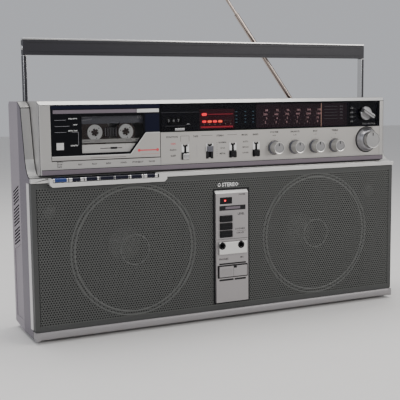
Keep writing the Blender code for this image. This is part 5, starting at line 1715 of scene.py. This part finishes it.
# --- loudspeakers
@dataclass
class Loudspeakers:
    """Two woofers and two tweeters behind the grille."""

    woofer: Place = (141.0, 112.0, 83.0)
    tweeter: Place = (249.5, 165.0, 22.0)

    def big(self, side: int, name: str) -> None:
        """Makes one woofer: surround roll, ribbed cone, dome, basket and magnet."""
        x, z, r = self.woofer[0] * side, self.woofer[1], self.woofer[2]
        form = Form("woofer_" + name + "_unit")
        cone = [(r * 0.28, 44.2)] + [
            (r * (0.28 + 0.56 * t / 12), 44.2 - 20.8 * (t / 12) ** 0.9 + (0.5 if t % 2 else 0)) for t in range(1, 13)
        ]
        back = [(radius, along + 1.2) for radius, along in reversed(cone)]
        form.lathe([*cone, *back], (x, z), Paint.CONE, ring=True, segs=72)
        form.lathe(
            [(0, 35.6), (r * 0.1, 36.2), (r * 0.18, 38.4), (r * 0.25, 41.8), (r * 0.29, 44.9), (0, 46)], (x, z),
            Paint.DOME, segs=48,
        )
        roll = [(r * (0.835 + 0.095 * t / 8), 23.6 - 3.8 * math.sin(math.pi * t / 8) - 2.2 * t / 8) for t in range(9)]
        form.lathe([*roll, (r * 0.93, 22.6), (r * 0.835, 24.8)], (x, z), Paint.FOAM, ring=True, segs=72)
        form.lathe(
            [(r * 0.925, 21.4), (r * 0.93, 18.9), (r * 0.97, 18.3), (r, 18.6), (r, 21), (r * 0.95, 23)], (x, z),
            Paint.BLACK, ring=True, segs=72,
        )
        form.lathe(
            [(r * 0.93, 22.8), (r * 0.97, 22.8), (r * 0.5, 50), (r * 0.46, 49)], (x, z), Paint.STEEL, ring=True,
            segs=48,
        )
        form.lathe([(0, 46), (r * 0.45, 49), (r * 0.45, 63), (r * 0.43, 64), (0, 64)], (x, z), Paint.BLACK, segs=48)
        out = r * 0.965
        turns = [math.radians(angle) for angle in (45, 135, 225, 315)]
        places = [(x + out * math.cos(turn), 18.4, z + out * math.sin(turn)) for turn in turns]
        form.screws(places, 2.4, Paint.BLACK).make("cabinet", "paper_cone", "woofer_" + name)

    def small(self, side: int, name: str) -> None:
        """Makes one tweeter."""
        x, z, r = self.tweeter[0] * side, self.tweeter[1], self.tweeter[2]
        form = Form("tweeter_" + name + "_unit")
        form.lathe([(0, 19.4), (r * 0.2, 19.9), (r * 0.38, 22), (r * 0.4, 24.6), (0, 25)], (x, z), Paint.DOME, segs=40)
        form.lathe(
            [
                (r * 0.4, 24.4), (r * 0.8, 20.2), (r * 0.86, 18.6), (r * 0.94, 18.3), (r, 18.7), (r, 22), (r * 0.6, 28),
                (r * 0.4, 28),
            ],
            (x, z), Paint.CONE, ring=True, segs=48,
        )
        form.lathe([(0, 26), (r * 0.6, 28), (r * 0.6, 37.6), (r * 0.57, 38), (0, 38)], (x, z), Paint.STEEL, segs=40)
        form.make("cabinet", "paper_cone", "tweeter_" + name)

    def build(self) -> None:
        """Makes all four."""
        for side, name in ((-1, "left"), (1, "right")):
            self.big(side, name)
            self.small(side, name)


# --- handle and antenna
@dataclass
class Handle:
    """Carrying handle: flat plated arms, a strap and a moulded grip."""

    reach: float = 266.8
    arm: float = 4.5
    front: float = 62.5
    back: float = 73.5
    pivot_z: float = 376.0

    def arm_face(self, middle: Vector, normal: Vector) -> Finish:
        """Picks bright plating inside the arms, and dark grip moulding outside and on the arms' edges below the bar as
        a painted dark reflection in the plating.
        """
        outside = abs(normal.x) > 0.9 and abs(middle.x) > self.reach - 0.3
        edge_on = abs(normal.y) > 0.5 and abs(middle.x) > self.reach - self.arm - 0.5
        # The outer and edge faces below the bar take the dark grip finish as a painted reflection.
        return Paint.GRIP if middle.z < 386 and (outside or edge_on) else Paint.CHROME

    def build(self) -> None:
        """Makes the frame and the grip."""
        form = Form("handle_arms").cad("handle_frame", self.arm_face, 0.5)
        for side in (-1, 1):
            profile = [(r, side * (self.reach + out)) for r, out in ((0, 0.5), (2.6, 0.4), (3.4, -0.2), (0, -0.2))]
            form.lathe(profile, ((self.front + self.back) / 2, self.pivot_z), Paint.CHROME, Axis.ACROSS, 24)
        form.make("handle", "chrome", "handle_frame")
        grip = Form("handle_bar").cad("handle_grip", Paint.GRIP, 0.6)
        for z in (370.2, 382):
            grip.block(
                (-self.reach + 6, self.reach - 6), (self.front - 0.12, self.front + 0.3), (z, z + 0.5), Paint.BLACK
            )
        grip.make("handle", "black_plastic", "handle_grip")


@dataclass
class Antenna:
    """Telescopic antenna on its turning foot."""

    base: Place = (162.0, 100.0, 299.0)
    lean: float = math.radians(36.8)
    total: float = 305.7

    def along(self) -> Matrix:
        """Returns the matrix that stands a piece built about Z on the leaning line."""
        return Matrix.Translation(self.base) @ Matrix.Rotation(-self.lean, 4, "Y")

    def turned(self, name: str, parts: Sequence[tuple[Outline, bool]]) -> Form:
        """Turns profiles about the leaning line."""
        form = Form(name)
        for profile, ring in parts:
            form.lathe(profile, (0, 0), Paint.ROD, Axis.UP, 28, ring=ring)
        bmesh.ops.transform(form.bm, matrix=self.along(), verts=form.bm.verts)
        return form

    def build(self) -> None:
        """Makes the foot, the tube and the rod with its drawn sections."""
        foot = Form("antenna_foot_block").cad("antenna_swivel", Paint.CHROME, 0.4)
        foot.rod(1.3, (94.6, 105.4), (162, 299), Paint.STEEL, segs=20, bevel=0.2)
        foot.make("antenna_foot", "chrome", "antenna_swivel")
        wall = [(2.65, 8), (3.3, 8), (3.5, 8.6), (3.5, 163.4), (3.7, 163.8), (3.7, 164.8), (3.4, 165), (2.65, 165)]
        plug = [(0, 6), (2.8, 6), (2.8, 14), (0, 14)]
        tube = self.turned("antenna_tube_lower", [(wall, True), (plug, False)])
        tongue = Form("tongue").block((-2.7, 2.7), (-2, 2), (-2.6, 9), Paint.CHROME, 0.5)
        bmesh.ops.transform(tongue.bm, matrix=self.along(), verts=tongue.bm.verts)
        tube.join(tongue).make("antenna_tube", "chrome", "antenna_outer_tube")
        steps = [(151, 2.3), (212, 1.85), (258, 1.4)]
        profile = [(0, 151)]
        for place, (start, radius) in enumerate(steps):
            end = steps[place + 1][0] if place + 1 < len(steps) else self.total - 6
            profile += [(radius, start), (radius, end - 1.6), (radius + 0.12, end - 1.4), (radius + 0.12, end)]
        profile += [
            (3, self.total - 6), (3.2, self.total - 5.4), (3.2, self.total - 1), (2.6, self.total), (0, self.total)
        ]
        self.turned("antenna_rod_upper", [(profile, False)]).make("antenna_rod", "chrome", "antenna_inner_rod")


# --- back and inside
class BackAndInside:
    """Battery hatch, mains socket and the works inside the case."""

    def build(self) -> None:
        """Makes the hatch and finishes the pieces inside."""
        form = Form("battery_hatch_lid").cad("battery_door", Paint.REAR, 0.4)
        values = {
            "Count": 9, "Start": (0.0, 107.75, 28.0), "Step": (0.0, 0.0, 5.0), "Size": (200.0, 0.5, 1.6),
            "Finish": Paint.REAR.material(),
        }
        form.mesh(Repeats.run("bar_row", values))
        form.prism([(-8, 76), (8, 76), (0, 82)], 107.6, 107.98, Axis.BACK, Paint.BLACK)
        form.words("OPEN", 24, 76.5, 107.8, 3.6, Paint.GREY, behind=True)
        form.make("battery_hatch", "rear_plastic", "battery_door")
        coat("battery_tray", Paint.BLACK)
        coat("main_board", Paint.BOARD)
        coat("transformer", Paint.COPPER)
        inlet = Form("mains_inlet").cad("power_inlet", Paint.BLACK, 0.25)
        for x in (-4, 4):
            inlet.rod(1, (100, 105), (205 + x, 76), Paint.CHROME, segs=16, bevel=0.2)
        inlet.make("cabinet", "black_plastic", "power_inlet")


# --- studio
@dataclass
class Studio:
    """Pale floor, soft lights and the camera."""

    eye: Place = (-542.47, -1041.48, 310.42)
    yaw: float = math.radians(25.44)
    pitch: float = math.radians(-6.87)
    roll: float = math.radians(-0.61)
    lens: float = 77.1

    def floor(self) -> None:
        """Lays the floor."""
        bm = bmesh.new()
        bmesh.ops.create_grid(bm, x_segments=8, y_segments=8, size=6.0)
        mesh = bpy.data.meshes.new("studio_floor")
        bm.to_mesh(mesh)
        bm.free()
        pale = Finish("studio_paper", (226, 224, 221), 0.7, 0.0, relief=0.01, drift=0.01)
        mesh.materials.append(pale.material())
        floor = link(bpy.data.objects.new("studio_floor", mesh))

    def light(
        self, name: str, place: Sequence[float], aim: Sequence[float], size: Span, power: float,
        colour: Sequence[float],
    ) -> None:
        """Hangs one soft light and turns it to a point."""
        lamp = bpy.data.lights.new(name, "AREA")
        lamp.shape, lamp.size, lamp.size_y = "RECTANGLE", *size
        lamp.energy, lamp.color = power, colour
        holder = link(bpy.data.objects.new(name, lamp))
        holder.location = place
        holder.rotation_euler = (Vector(aim) - Vector(place)).to_track_quat("-Z", "Y").to_euler()

    def lights(self) -> None:
        """Sets the overhead, front and side lights and the pale surroundings."""
        middle = (0.0, 0.0, 0.17)
        self.light("overhead", (0.1, 0.25, 1.7), middle, (1.8, 1.2), 26.0, (1.0, 0.98, 0.96))
        self.light("front_right", (1.1, -1.5, 0.85), middle, (1.0, 0.8), 13.0, (1.0, 0.97, 0.93))
        self.light("front_left", (-1.1, -1.5, 0.8), middle, (0.9, 0.7), 8.0, (0.95, 0.97, 1.0))
        self.light("left_glow", (-1.6, 0.3, 0.6), middle, (0.8, 0.8), 4.0, (0.86, 0.88, 1.0))
        world = bpy.data.worlds.new("studio")
        bpy.context.scene.world = world
        world.use_nodes = True
        sky = world.node_tree.nodes["Background"]
        sky.inputs["Color"].default_value = (0.86, 0.88, 0.93, 1.0)
        sky.inputs["Strength"].default_value = 0.55

    def camera(self) -> None:
        """Stands the camera."""
        data = bpy.data.cameras.new("camera")
        data.lens, data.sensor_width, data.sensor_fit = self.lens, 36.0, "HORIZONTAL"
        data.clip_start = 0.02
        level = math.cos(self.pitch)
        forward = Vector((math.sin(self.yaw) * level, math.cos(self.yaw) * level, math.sin(self.pitch)))
        right = Vector((math.cos(self.yaw), -math.sin(self.yaw), 0.0))
        up = right.cross(forward)
        across = right * math.cos(self.roll) + up * math.sin(self.roll)
        above = up * math.cos(self.roll) - right * math.sin(self.roll)
        stand = Matrix((across, above, -forward)).transposed().to_4x4()
        stand.translation = TO_METRES @ Vector(self.eye)
        holder = link(bpy.data.objects.new("camera", data))
        holder.matrix_world = stand
        bpy.context.scene.camera = holder

    def build(self) -> None:
        """Makes the studio."""
        self.floor()
        self.lights()
        self.camera()


def main() -> None:
    """Builds every sub-assembly in order."""
    logging.basicConfig(level=logging.INFO, format="%(message)s")
    Studio().build()
    front = (CaseFront(), CaseRear(), Grille(), Trim(), ControlUnit(), Dial(), Deck(), CentreColumn())
    for part in (*front, Loudspeakers(), Handle(), Antenna(), BackAndInside()):
        log.info("building %s", type(part).__name__)
        part.build()


if __name__ == "__main__":
    main()
